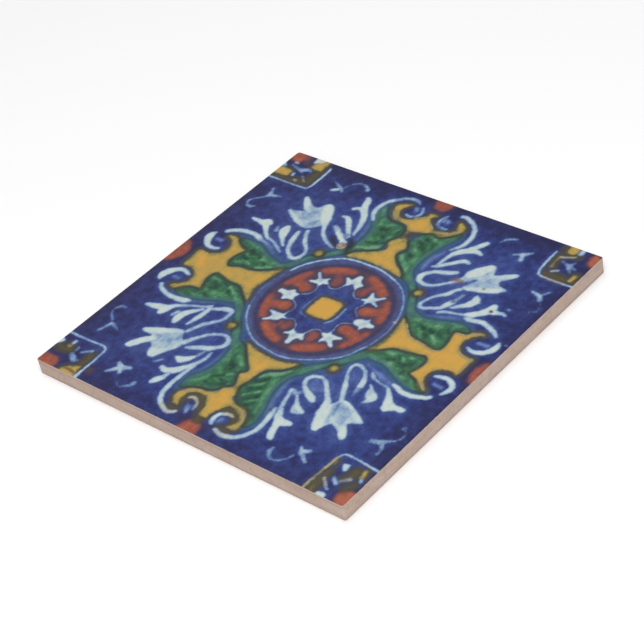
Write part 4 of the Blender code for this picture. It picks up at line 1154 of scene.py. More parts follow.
def paintLeftQuarter():
    patch(white, 0.62, (-51.6, -41.6), (-48, -39), (-43, -36.8), (-38, -34.8), (-35.4, -35), (-34, -38),
          (-31.6, -39.6), (-30.9, -42), (-31.6, -44.4), (-33.2, -46.4), (-34.8, -49.6), (-36.2, -52.2),
          (-38.4, -52.4), (-40.4, -50.6), (-41.2, -47.6), (-43.2, -46.4), (-45.6, -48.8), (-48, -52.2),
          (-50.4, -52.4), (-51, -50.6), (-48.8, -47.4), (-45.8, -44), (-46.6, -42.9), (-49.8, -43), grow=-0.2)
    strokes(white, (
        (0.9, (-50.3, -41.7, 0.9), (-48, -41, 1.4), (-45, -39.7, 1.5), (-42, -38.1, 1.4), (-39, -36.6, 1.2),
         (-36.5, -35.6, 0.8)),
        (1.0, (-49.5, -51.2, 1.1), (-48.3, -49.5, 1.7), (-46.8, -47.3, 1.6), (-45, -45, 1.4),
         (-43.3, -43.3, 1.0)),
        (0.9, (-39.6, -48.8, 1.1), (-38.2, -50.4, 1.6), (-36.8, -49.4, 1.6), (-35.4, -47, 1.3)),
        (0.8, (-35.4, -47, 1.2), (-33.6, -44.6, 1.3), (-32.2, -42, 1.0))), soft=0.7)
    shade(white, 0.54, 1.4, (-42.6, -42, 1.2), (-38.4, -42.4, 2.2), (-36.8, -45, 1.4))
    shade(white, 0.36, 1.0, (-35, -37.4, 0.6), (-35, -40, 0.7))
    patch(white, 0.9, (-21.8, -43), (-22, -45.5), (-23.5, -47.8), (-25.5, -49.3), (-28.8, -47.3),
          (-25.5, -46), (-23.5, -44.5))
    strokes(white, (
        (0.82, (-31.5, -40, 1.2), (-30, -37, 0.9), (-28.5, -35, 0.8), (-26.5, -32.5, 0.8), (-24, -30.5, 0.7),
         (-22, -29.75, 0.7), (-20, -29.25, 0.7), (-17.5, -30.5, 0.9), (-16.5, -32.5, 1), (-17, -34.5, 1),
         (-18.5, -36, 0.9), (-20.5, -37.7, 1.3), (-23, -38.7, 1.1), (-26, -40.2, 1), (-28.3, -41.5, 0.8)),
        (0.8, (-35, -34.5, 0.8), (-34, -32.5, 0.8), (-32.5, -29, 0.9), (-30.5, -26.5, 0.8),
         (-28.5, -24.5, 0.7), (-27.25, -22, 0.7), (-27.25, -19, 0.8), (-28, -17.5, 1), (-30, -17.5, 1.2),
         (-32.5, -18.5, 1), (-35, -19.75, 0.8), (-36.6, -20.8, 0.7)),
        (0.9, (-36.8, -19, 0.6), (-36.5, -22, 1), (-36.8, -25.5, 1.1), (-37.3, -28.5, 0.9),
         (-38, -31.3, 0.5)),
        (0.95, (-38.5, -22, 0.6), (-40.5, -24, 0.9), (-42.5, -26.3, 1.3), (-43.8, -28.8, 1.7),
         (-43.7, -31, 1.5), (-43.5, -32.7, 1)),
        (0.6, (-46.9, -30, 0.9), (-46.2, -28, 1.0)),
        (0.9, (-60.5, -30.2, 0.7), (-58.3, -29.8, 1.1), (-55.5, -29.2, 1.5), (-53, -28.5, 1.5)),
        (0.92, (-52.3, -31, 1.3), (-51.8, -29, 1.7), (-51, -27.3, 1.2), (-49.5, -25.5, 0.9), (-47, -24, 0.7)),
        (0.74, (-47, -24, 0.7), (-44, -22.6, 0.6), (-41, -21.3, 0.6), (-38.5, -20.3, 0.7),
         (-36.8, -18.8, 0.6)),
        (0.5, (-21.5, -43, 0.8), (-21, -40, 0.7)),
        (0.92, (-29, -54.3, 0.9), (-27, -54.8, 1.2), (-25, -54.3, 1.5), (-22.8, -52.5, 1.5),
         (-20.8, -50, 1.2), (-19.3, -47.3, 1)),
        (0.75, (-19.3, -47.3, 0.9), (-18.2, -44.3, 0.8), (-17.7, -41.5, 0.7), (-18, -39.5, 0.6)),
        (0.95, (-26.8, -62, 0.9), (-25.8, -60.3, 1.4), (-24.5, -58.3, 1)),
        (0.8, (-24.5, -57.6, 0.9), (-24.3, -55.6, 0.9)),
        (0.5, (-34, -53.8, 0.4), (-32.8, -52.3, 0.5), (-31.7, -51, 0.4)),
        (0.5, (-19.5, -52.5, 1.1), (-19.3, -51, 1.0)),
        (0.9, (-18.5, -46, 0.6), (-19, -50, 0.8), (-19.3, -53.5, 0.9), (-19.5, -58.6, 0.95),
         (-18.9, -63.5, 0.95), (-18, -65.7, 0.9), (-16.7, -67.7, 0.9), (-14.9, -69.1, 0.8),
         (-12.6, -70.3, 0.8), (-10.4, -70.9, 0.8), (-8.5, -70.3, 0.7), (-7.5, -69.3, 0.5)),
        (0.42, (-6.2, -64.2, 0.5), (-5, -65.6, 1.1), (-4, -67.2, 0.9), (-4, -68.4, 0.3)),
        (0.86, (-8.1, -61.4, 0.4), (-6.8, -60.5, 0.5), (-5.2, -60.9, 0.5)),
        (0.62, (-5.2, -60.9, 0.4), (-3.6, -62, 0.5), (-2.8, -63.6, 0.5), (-2.7, -65.4, 0.4)),
        (0.85, (-64.3, -18.3, 0.7), (-63, -19.8, 0.8), (-61, -20.8, 0.9), (-58.7, -21.7, 0.9),
         (-56, -22.2, 1), (-53.3, -22.2, 1.1), (-50.7, -22, 1.3), (-48.3, -21.3, 1.2), (-47, -20.7, 0.7)),
        (0.95, (-67.2, -16.3, 0.5), (-68, -14.7, 1.2), (-67.8, -12.7, 1.6), (-66.7, -10.7, 1.5),
         (-65, -8.7, 1.1), (-63, -7.8, 0.9), (-61, -8, 0.8), (-59.3, -8.7, 0.7), (-58.2, -9, 0.4)),
        (0.45, (-66.5, -36, 0.5), (-68, -36, 0.6), (-69.25, -37.5, 0.5), (-69.5, -39.5, 0.4), (-68, -42, 0.4),
         (-65.5, -44, 0.4)),
        (0.5, (-64.25, -45.5, 0.9), (-59.75, -47, 0.4)), (0.6, (-64.25, -45.5, 0.8), (-66, -51, 0.5)),
        (0.7, (-42.4, -62.3, 1.5), (-45, -60.75, 0.7)), (0.65, (-42.2, -62.2, 1.3), (-39, -60.75, 0.8)),
        (0.6, (-42.5, -62.5, 1.2), (-46, -66.5, 0.6)), (0.6, (-42.5, -62.5, 1.2), (-41, -64.4, 0.8)),
        (0.5, (-31.7, -66, 0.9), (-32.5, -68, 0.7), (-34.5, -70, 0.5)),
        (0.35, (-34.5, -70, 0.5), (-36.5, -70, 0.5), (-38, -69, 0.4))))
    shade(cream, 0.8, 0.9, (-8.2, -61.4, 0.8), (-6, -60.6, 0.9), (-3.6, -62, 0.8), (-2.8, -63.6, 0.6))
    shade(cream, 0.5, 1.2, (-14.6, -69.2, 1.0), (-10.4, -70.9, 1.0), (-8, -70, 0.8))


def paintCorners():
    # each corner holds a small framed square with a rust disc and loose dabs
    # front corner
    stroke(white, 1.2, (59.2, -56, 0.2), (60.2, -55.2, 0.2), (63, -55.2, 0.2), (67, -55.4, 0.2),
           (71, -55.8, 0.25), (75.5, -56.2, 0.35))
    stroke(yellow, 0.12, (60.2, -64.5, 1.0), (60, -70, 1.4), (60.4, -75.5, 1.8))
    stroke(yellow, 0.12, (68.8, -60.4, 1.6), (68.4, -62.6, 1.4), (67, -65, 1.0))
    stroke(yellow, 0.7, (59.4, -59.2, 0.3), (59.5, -61, 0.35))
    stroke(yellow, 0.9, (71.3, -58.6, 0.9), (72, -61.4, 1.0))
    stroke(yellow, 0.12, (71.8, -65.6, 0.8), (70.4, -68.4, 0.8))
    stroke(white, 0.78, (59.1, -56.2, 0.25), (58.5, -58.4, 0.3), (58.3, -61, 0.3), (57.9, -65, 0.3))
    stroke(white, 0.5, (57.9, -65, 0.4), (57.6, -70, 0.45), (57.4, -75.5, 0.5))
    stroke(white, 0.6, (61, -67.9, 0.6), (62.8, -69.6, 0.6), (65.2, -71.4, 0.4))
    shade(cream, 1.0, 1.0, (58.6, -58.2, 0.8), (57.9, -66, 1.0), (57.4, -75, 1.0))
    shade(cream, 0.9, 1.0, (61, -68, 0.8), (63.4, -70.2, 0.6))
    stroke(rust, 1.0, (73.6, -71.8, 4.1))
    patch(white, 0.85, (62.6, -59.4), (64.6, -59), (64.7, -61.6), (63.6, -61), grow=0.1)
    stroke(white, 0.6, (63.6, -65.9, 0.5), (65, -67, 0.8), (66, -67.8, 0.7))
    stroke(white, 0.4, (66.6, -66, 0.7), (69.2, -64, 0.8))
    shade(cream, 0.6, 1.0, (66.6, -65.6, 0.7), (69.2, -64, 0.8))
    patch(white, 1.0, (63.4, -73.8), (66.1, -73.4), (66.3, -75.6), (63.4, -75.6))
    stroke(white, 0.9, (72.5, -62.2, 0.5), (72.9, -63, 0.5))

    # right corner
    stroke(yellow, 0.12, (61, 57, 1.0), (68, 56.9, 1.4), (75.5, 57.2, 1.2))
    stroke(yellow, 0.12, (60.6, 68, 0.9), (60.8, 64, 1.0), (61.6, 60.4, 0.8))
    stroke(yellow, 0.12, (60.4, 75.5, 1.0), (62, 71, 1.2), (66.6, 70.6, 0.9))
    stroke(yellow, 0.92, (63.2, 74.4, 2.1), (63.6, 72.8, 2.2))
    stroke(yellow, 0.66, (61.2, 67.2, 0.7), (61.2, 64, 0.4), (61.7, 61.6, 0.7))
    stroke(yellow, 0.85, (72.7, 60.2, 1.1), (72.3, 57.6, 0.9))
    stroke(white, 0.5, (61.3, 67.5, 0.6), (63, 68.2, 0.5), (66.2, 69.8, 0.4))
    shade(cream, 1.0, 0.8, (61.3, 67.5, 0.8), (66.2, 69.8, 0.8))
    stroke(white, 1.25, (58, 69.6, 0.2), (58.2, 63.5, 0.25), (58.6, 59, 0.25), (59.3, 56.6, 0.25),
           (60.4, 55.2, 0.25), (65, 54.75, 0.2), (70, 54.75, 0.2), (75.5, 54.9, 0.25))
    shade(cream, 0.7, 1.0, (62.5, 54.8, 0.8), (70.5, 54.8, 0.8))
    shade(white, 0.62, 1.0, (63, 54.8, 0.7), (70, 54.8, 0.7))
    stroke(rust, 1.0, (74.6, 70, 2.9), (74.2, 72.4, 3.0))
    stroke(white, 0.95, (66.9, 75.4, 0.9), (66.8, 72.4, 0.8))
    stroke(white, 0.36, (61.2, 63, 0.6), (61.5, 61.2, 0.6))
    stroke(white, 0.9, (63, 58.9, 0.3), (65, 60.5, 0.35))
    shade(cream, 0.5, 0.8, (64, 59.8, 1.2))
    for tip in ((68.2, 67.2, 0.4), (63.4, 65.6, 0.4), (69.5, 61.2, 0.5), (70.4, 63.6, 0.5)):
        stroke(white, 0.42, (67.1, 64.5, 1.1), tip)
    shade(cream, 0.9, 1.0, (61.2, 63, 0.8), (61.5, 61.2, 0.8))

    # back corner
    stroke(rust, 0.08, (-67.8, 73.5, 2.4), (-66.4, 70.4, 1.9))
    stroke(rust, 0.95, (-73, 73.4, 3.4), (-71.4, 72, 3.4), (-69.4, 73.6, 1.6))
    shade(rust, 0.55, 1.4, (-68.2, 74.6, 1.0), (-68.2, 71.4, 0.8))
    stroke(yellow, 0.12, (-57, 60, 1.4), (-57.2, 64, 1.5), (-57, 69, 1.2))
    stroke(yellow, 0.12, (-73, 57.9, 0.8), (-66, 58.2, 1.0), (-60, 58.6, 1.6))
    patch(yellow, 0.76, (-62.8, 68.6), (-61, 67.9), (-57.4, 68.2), (-56.9, 71.8), (-57.6, 75.6),
          (-60.6, 75.6), (-62.6, 72.6))
    patch(yellow, 0.84, (-75.6, 59.2), (-70, 59), (-68, 59.6), (-67.8, 62.4), (-70, 63.7), (-75.6, 63.6))
    stroke(white, 1.05, (-75.5, 56.1, 0.2), (-66, 56, 0.2), (-56, 56.1, 0.25), (-54.8, 56.6, 0.25),
           (-54.1, 58, 0.25), (-53.9, 63.5, 0.3), (-54.1, 69.5, 0.3), (-54.5, 71.4, 0.25))
    shade(white, 1.0, 1.0, (-75, 56.1, 0.8), (-70, 56.1, 0.8))
    shade(white, 1.0, 1.0, (-54, 58.5, 0.8), (-54.1, 70, 0.8))
    patch(white, 0.9, (-63.6, 71.8), (-62, 72.2), (-60, 73), (-59.4, 75.8), (-63.6, 75.8))
    shade(cream, 0.6, 1.0, (-61, 73.4, 1.4))
    stroke(white, 0.6, (-70.8, 68.7, 0.6), (-69.6, 68.4, 0.6))
    shade(cream, 0.7, 1.0, (-70.2, 68.6, 1.0))
    stroke(white, 0.85, (-75.4, 66.2, 0.9), (-73.6, 64.7, 0.6))
    stroke(white, 0.42, (-71, 66.6, 0.5), (-67.5, 65.4, 0.7), (-64.6, 65.4, 1.3), (-62, 66.6, 0.9),
           (-60.8, 66.2, 0.5))
    stroke(white, 0.3, (-63.4, 64, 0.9), (-62.4, 62.6, 0.5))
    stroke(white, 0.85, (-66.4, 61.9, 0.6), (-66.2, 60.8, 0.5))
    stroke(white, 0.45, (-61.5, 62, 0.5), (-59, 59.6, 0.6))
    stroke(white, 0.32, (-63, 58.7, 0.8), (-62.4, 58.5, 0.8))
    shade(cream, 0.8, 1.0, (-61.5, 62, 0.8), (-59, 59.6, 0.9))
    shade(cream, 1.0, 1.0, (-63, 58.7, 1.0), (-62.4, 58.5, 1.0))

    # left corner
    stroke(yellow, 0.12, (-73.6, -64.6, 0.9), (-70.4, -65.2, 1.1), (-67, -64.6, 1.0))
    stroke(yellow, 0.12, (-58.2, -62.4, 1.0), (-56.8, -65, 1.2), (-57.4, -68.2, 1.3))
    patch(yellow, 0.84, (-56.4, -69.2), (-59.6, -70.8), (-62.6, -73.4), (-62.4, -75.8), (-55.6, -75.8),
          (-55.8, -71.6))
    stroke(dark, 0.6, (-61.8, -73.2, 0.4), (-59, -72.9, 0.8), (-56.4, -73.4, 0.5))
    stroke(yellow, 0.6, (-69, -63, 1.3))
    stroke(white, 1.1, (-75.5, -57.3, 0.35), (-66, -57.2, 0.25), (-58.5, -56.8, 0.25), (-56, -57.2, 0.25),
           (-54.8, -58.8, 0.25), (-54.4, -64, 0.25), (-54.3, -69, 0.25), (-54.3, -72.5, 0.5),
           (-54.2, -75.6, 0.8))
    stroke(rust, 0.8, (-72.5, -73.6, 4.2), (-69.6, -73.8, 4.0))
    shade(rust, 0.95, 1.6, (-72.4, -75, 1.6), (-70.4, -74.6, 1.6))
    stroke(white, 0.95, (-68.8, -60.2, 0.6), (-68.9, -61.4, 0.6))
    patch(white, 1.0, (-75.8, -61), (-73.4, -61.6), (-73.8, -63.2), (-75.8, -64.4))
    shade(cream, 0.5, 1.0, (-75.6, -64, 1.0))
    stroke(white, 0.42, (-65.2, -62, 0.5), (-64.9, -64, 0.4))
    stroke(white, 0.66, (-62.2, -63.8, 0.5), (-60.4, -62.2, 0.5), (-58.9, -61.2, 0.6))
    stroke(white, 0.42, (-65, -65.8, 0.8), (-63.6, -67, 1.2), (-61.6, -68.2, 1.0), (-60, -67.8, 0.6))
    shade(teal, 0.7, 1.2, (-64, -66.4, 1.2), (-61, -68.2, 1.0))
    stroke(rust, 0.05, (-52, -69.6, 1.9))


def ovalRing(radiusX, radiusY):
    return [(2.4 + radiusX * math.cos(t / 4), 0.6 + radiusY * math.sin(t / 4), 1.6) for t in range(26)]


def paintGround():
    ground["load"][:] = 0.5
    fromEdge = halfSide / mm - np.maximum(np.abs(faceX), np.abs(faceY))
    ground["load"] -= 0.16 * (1 - smoothstep(2, 26, fromEdge))
    violet["load"][:] = 0.2 * (1 - smoothstep(0, 12, fromEdge))
    shade(violet, 0.3, 7.0, (-60, 75, 2), (60, 75, 2))
    shade(violet, 0.6, 6.0, (-75, -60, 1), (-75, 50, 1))
    shade(violet, 0.0, 6.0, (75, -60, 1), (75, 60, 1))
    violet["load"] += 0.32 * (1 - smoothstep(-50, -10, faceX))       # stronger towards the left side
    shade(violet, 0.25, 12.0, (-64, 60, 8))
    shade(violet, 0.9, 3.0, (-12, -69, 1), (2.6, -70, 2), (16, -69, 1))
    shade(violet, 1.0, 1.2, (5.2, 64, 1.0))
    # washes of lighter blue in the four sprays
    for x, y in ((33, -33), (36, 33), (-33, 33), (-32, -34)):
        shade(ground, 0.62, 12.0, (x, y, 7))
    shade(ground, 0.26, 9.0, (-60, 75, 4), (60, 75, 4))
    shade(ground, 0.16, 5.0, (-70, 75, 2), (70, 75, 2))
    shade(ground, 0.2, 8.0, (75, -70, 2), (75, 70, 2))
    # darker close round the medallion, then an olive haze
    shade(ground, 0.4, 2.5, *ovalRing(25.8, 25.4))
    shade(haze, 0.5, 2.0, *ovalRing(27.6, 27.2))
    for x, y in ((-65, 66), (67, 65), (67, -66), (-66, -67)):
        shade(ground, 0.3, 4.0, (x, y, 5))
    # pale washes between the leaves and the sprays, inside the loops and inside the scrolls
    for load, softness, *points in (
            (0.92, 1.3, (17.6, -36, 0.5), (18.4, -43, 1.2), (20, -49, 1.2), (21.6, -54, 0.6)),
            (0.92, 1.3, (37, -15.6, 0.4), (43, -17.6, 1.0), (49, -19.2, 1.2), (54, -19.4, 0.5)),
            (0.92, 1.2, (21, 49.5, 0.6), (19.6, 45, 1.2), (19, 41, 1.1), (19.6, 37, 0.5)),
            (0.9, 1.2, (39, 16.6, 0.5), (44, 18.2, 1.0), (50, 20.4, 0.8)),
            (0.92, 1.3, (-17.4, 54, 0.6), (-15.4, 49, 1.2), (-14, 44, 1.1), (-14, 39, 0.6)),
            (0.9, 1.2, (-48, 21.4, 0.8), (-43, 20, 1.0), (-38, 17.4, 0.6)),
            (0.92, 1.3, (-13.6, -36, 0.5), (-13.6, -42, 1.0), (-14.6, -48, 0.9), (-17, -54, 0.5)),
            (0.9, 1.2, (-48, -21, 0.6), (-43, -19, 0.9), (-38, -16.6, 0.5)),
            (0.7, 1.8, (10, -65, 1.2), (11, -64.4, 1.0)), (1.05, 1.2, (64, -12.2, 0.8), (67, -12.4, 1.0)),
            (0.9, 1.8, (10.4, 65, 1.2), (10.8, 64.6, 1.0)), (1.15, 1.2, (64.4, 13, 0.7), (68, 13.2, 0.8)),
            (0.86, 1.8, (-5.2, 65.6, 1.2), (-5.2, 64.6, 1.0)),
            (1.1, 1.2, (-64.4, 13.6, 0.9), (-62, 13.5, 0.9)),
            (0.7, 1.8, (-4.8, -65.6, 1.2), (-4.4, -64.4, 1.0)),
            (1.0, 1.2, (-63, -12.5, 0.9), (-60.6, -12.6, 0.8)), (0.86, 2.0, (27, -33, 1.8), (30, -35, 1.4)),
            (0.82, 2.0, (37, -21.5, 1.4), (38, -25, 1.4))):
        shade(ground, load, softness, *points)


paintGround()
paintArms()
paintLeaves()
paintMedallion()
paintFrontQuarter()
paintRightQuarter()
paintBackQuarter()
paintLeftQuarter()
paintCorners()
print("stage: paint laid out")


# wear: one deep chip in the back spray and a few pin holes

chipOutline = ((-18.8, 35.2), (-17.4, 35.4), (-15.7, 35.1), (-15, 33.8), (-15.6, 32.2), (-17.2, 31.5),
               (-18.7, 32.3), (-19.1, 33.8))
pinHoles = ((47.5, 38.5, 0.4), (57.7, 29.3, 0.7), (42, 27.5, 0.5), (30.5, 7.7, 0.7), (22.5, -52, 0.5))


def markWear():
    patch(harm, 1.0, *chipOutline)
    # the chip's whitish lip: the broken glaze rim, with a painted highlight along it
    stroke(white, 0.5, (-19.6, 40, 1.0), (-18.6, 38.8, 0.9))
    stroke(white, 1.6, (-24, 39.4, 0.5), (-21.6, 38, 0.5), (-19.2, 36.4, 0.6), (-18.8, 35.7, 0.5))
    stroke(white, 1.3, (-17.4, 36, 0.5), (-16.9, 36.2, 0.4))
    for x, y, radius in pinHoles:
        stroke(harm, 0.6, (x, y, radius))
    # painted shade and dark grime: either side of the chip, in the broken top corner and in the pin holes
    shade(dirtAndShade, 0.95, 1.5, (-16.6, 38.4, 0.7), (-14.8, 37, 1.3), (-13.6, 34.6, 1.5), (-13.2, 32, 1.1),
          (-12.4, 30.8, 0.4))
    shade(dirtAndShade, 0.8, 1.4, (-24.4, 36.4, 0.7), (-22.6, 35.2, 1.3), (-20.8, 33.8, 1.4), (-19.6, 32.2, 0.9))
    shade(dirtAndShade, 0, 1.0, (-17.2, 33.8, 1.4))
    shade(dirtAndShade, 0, 0.8, (-20.6, 37.2, 0.6), (-18.6, 36.1, 0.7), (-16.8, 36, 0.5))
    shade(dirtAndShade, 1.0, 0.6, (74.3, 74.4, 0.7))
    for load, x, y in ((0.9, 57.7, 29.3), (0.6, 47.5, 38.5), (0.5, 42, 27.4), (0.3, 22.5, -52)):
        shade(dirtAndShade, load, 0.5, (x, y, 0.7))
    shade(stain, 0.8, 1.0, (33.8, 37.4, 0.5), (35.8, 38, 1.4), (37.6, 38.2, 0.7))


markWear()


# relief of the face: white enamel stands a little proud, chips and pin holes go down

relief = {
    "groundSink": 0.05 * mm,
    "chipDepth": 0.42 * mm,
    "holeDepth": 0.16 * mm,
    "chipLoad": 0.8,            # harm marked stronger than this is a chip, weaker is a pin hole
    "enamelEdge": (-0.35, 0.35),
    "harmEdge": (-0.1, 0.7),
}


def shapeFace(skin):
    spots = meshSpots(skin.data)
    onFace = sideSlide == 0
    enamel = smoothstep(*relief["enamelEdge"], white["reach"]) * white["load"]
    depth = np.where(harm["load"] > relief["chipLoad"], relief["chipDepth"], relief["holeDepth"])
    sink = relief["groundSink"] * (1 - enamel) + smoothstep(*relief["harmEdge"], harm["reach"]) * depth
    spots[onFace, 2] -= sink[onFace]
    putSpots(skin.data, spots)


def storeAttribute(name, *channels):
    # up to three values for each point, for the material to read
    values = np.zeros((len(faceX), 3), dtype=np.float32)
    for column, channel in enumerate(channels):
        values[:, column] = channel
    made = glazePiece.data.attributes.new(name, 'FLOAT_VECTOR', 'POINT')
    made.data.foreach_set("vector", values.ravel())


shapeFace(glazePiece)
storeAttribute("enamel", white["reach"], white["load"], ground["load"])
storeAttribute("colours", yellow["reach"], green["reach"], rust["reach"])
storeAttribute("tones", yellow["load"], green["load"], rust["load"])
storeAttribute("marks", dark["reach"], harm["reach"], dirtAndShade["load"])
storeAttribute("tints", cream["load"], teal["load"], violet["load"])
storeAttribute("stains", stain["load"], haze["load"])


def layFlatMap(skin, sizes):
    # the face fills the map, its sides fold out round it and the hidden underside takes a corner
    mesh = skin.data
    corners = np.empty(len(mesh.loops), dtype=int)
    mesh.loops.foreach_get("vertex_index", corners)
    plan = paintHome + outwardFrom(paintHome, faceHalf) * sideSlide[:, None]
    share = (plan / (2 * (faceHalf + sideSlide.max())) + 0.5)[corners]
    uv = sizes["mapInset"] + share * sizes["mapSpan"]
    under = max(mesh.polygons, key=lambda face: len(face.vertices))
    hidden = slice(under.loop_start, under.loop_start + under.loop_total)
    uv[hidden] = share[hidden] * sizes["underSpan"] + sizes["underInset"]
    layer = mesh.uv_layers.new(name="OFBake")
    layer.data.foreach_set("uv", uv.ravel().astype(np.float32))


layFlatMap(glazePiece, glazeSkin)


# the painted glaze

glazeLook = {
    "groundStops": ((0.0, tone(26, 24, 64)), (0.3, tone(34, 40, 90)), (0.5, tone(46, 60, 122)),
                    (0.72, tone(64, 82, 142)), (1.0, tone(100, 120, 174))),
    "violet": tone(64, 50, 66),
    "yellowStops": ((0.0, tone(80, 73, 52)), (0.3, tone(122, 114, 64)), (0.58, tone(164, 143, 78)),
                    (0.82, tone(186, 149, 73)), (1.0, tone(200, 154, 70))),
    "greenStops": ((0.0, tone(30, 62, 52)), (0.3, tone(46, 86, 64)), (0.55, tone(56, 108, 76)),
                   (0.8, tone(78, 136, 94)), (1.0, tone(118, 152, 124))),
    "rustStops": ((0.0, tone(70, 58, 74)), (0.4, tone(100, 66, 78)), (0.62, tone(130, 74, 70)),
                  (0.85, tone(148, 77, 60)), (1.0, tone(162, 91, 71))),
    "whiteStops": ((0.0, tone(68, 88, 146)), (0.3, tone(92, 118, 164)), (0.55, tone(144, 167, 189)),
                   (0.75, tone(175, 192, 198)), (0.95, tone(190, 202, 198)), (1.0, tone(194, 205, 201))),
    "creamStops": ((0.0, tone(120, 114, 84)), (0.35, tone(152, 142, 102)), (0.6, tone(184, 166, 118)),
                   (0.95, tone(206, 186, 142))),
    "teal": tone(72, 108, 110),
    "tealGround": tone(60, 98, 118),
    "oliveGround": tone(78, 72, 62),
    "haze": tone(112, 106, 84),
    "tealLine": tone(42, 74, 96),
    "yellowLine": tone(66, 66, 50),
    "greenLine": tone(42, 58, 46),
    "rustLine": tone(58, 44, 72),
    "darkMark": tone(70, 58, 50),
    # one dark colour for both grime and painted shade round the chip and in the pin holes
    "dirtAndShade": tone(42, 37, 38),
    "stain": tone(120, 86, 68),
    "chipDark": tone(128, 114, 98),
    "chipPale": tone(178, 163, 142),
    # noise scales, per millimetre, and how the streaks are turned and stretched
    "shakeScale": 0.55,
    "mottleScale": 0.32,
    "cloudScale": 0.09,
    "grainScale": 1.3,
    "streakScale": 0.9,
    "streakTurn": (0, 0, 0.6),
    "streakStretch": (1, 0.25, 1),
    "glossScale": 0.5,
    "dimpleScale": 0.45,
    "fineScale": 5.0,
    "raggedScale": 0.7,
    # how much mottle and how much streak each colour shows
    "groundVariety": (0.2, 0.06),
    "yellowVariety": (0.24, 0.12),
    "greenVariety": (0.36, 0.16),
    "rustVariety": (0.28, 0.08),
    "enamelMottle": 0.22,
    "enamelGrain": 0.12,
    "enamelStreak": 0.1,
    "cloudAmount": 0.14,
    "paleNearWhite": 0.12,
    "yellowThinning": 0.46,          # towards the rim of a shape
    "rustThinning": 0.35,
    # shares of a tint laid over what is under it
    "violetShare": 0.45,
    "oliveShare": 0.5,
    "hazeShare": 0.5,
    "tealGroundShare": 0.66,
    "tealShare": 0.66,
    "rustLineShare": 0.5,
    "greenLineShare": 0.7,
    "darkMarkShare": 0.7,
    # from and to, in millimetres inside a shape; less than nought is outside it
    "nearYellow": (-3.6, -1.4),
    "nearGreen": (-3.4, -0.6),
    "nearWhite": (-2.6, -0.4),
    "oliveHalo": (-2.8, -0.8),
    "yellowRim": (-0.6, 2.6),
    "greenRim": (0.0, 3.2),
    "rustRim": (0.2, 1.8),
    "enamelDepth": (-1.0, 0.8),
    "chipEdge": (-0.3, 0.4),
    "bareHeights": (6.78, 6.88),     # millimetres above the bed, where the glaze ends on the side
    "raggedness": 0.16,              # millimetres up and down
    # softness of a colour's edge and width of its dark line, in millimetres
    "yellowEdge": {"Soft": 0.85, "Line": 0.95},
    "greenEdge": {"Line": 0.8},
    "rustEdge": {"Soft": 0.9, "Line": 1.1},
    "darkEdge": {"Soft": 0.5, "Line": 1.0},
    "wobble": 0.4,                   # millimetres of brush unsteadiness
    "roughness": 0.24,
    "roughnessRange": 0.14,
    "specular": 0.36,
    "bump": {"strength": 0.3, "distance": 0.12 * mm},
    "fineHeight": 0.12,              # beside the dimples of the glaze
    "enamelHeight": 0.4,
}


def makeEdgeGroup():
    # a painted shape's body and the dark line round it, from how far inside a point lies
    group, given, wanted = startGroup(
        "brushEdge",
        [("Reach", "NodeSocketFloat", 0.0), ("Soft", "NodeSocketFloat", 0.3),
         ("Line", "NodeSocketFloat", 1.0)],
        [("Body", "NodeSocketFloat"), ("Outline", "NodeSocketFloat")])
    reach, soft, line = given["Reach"], given["Soft"], given["Line"]

    def lineWidths(low, high):
        lowEnd, highEnd = (maths(group, 'MULTIPLY', line, end) for end in (low, high))
        return softStep(group, reach, lowEnd, highEnd)

    body = softStep(group, reach, maths(group, 'MULTIPLY', soft, -1.0), soft)
    group.links.new(body, wanted["Body"])
    outline = maths(group, 'MULTIPLY', lineWidths(-2.0, -0.6), opposite(group, lineWidths(-0.45, 0.6)))
    group.links.new(outline, wanted["Outline"])
    return group


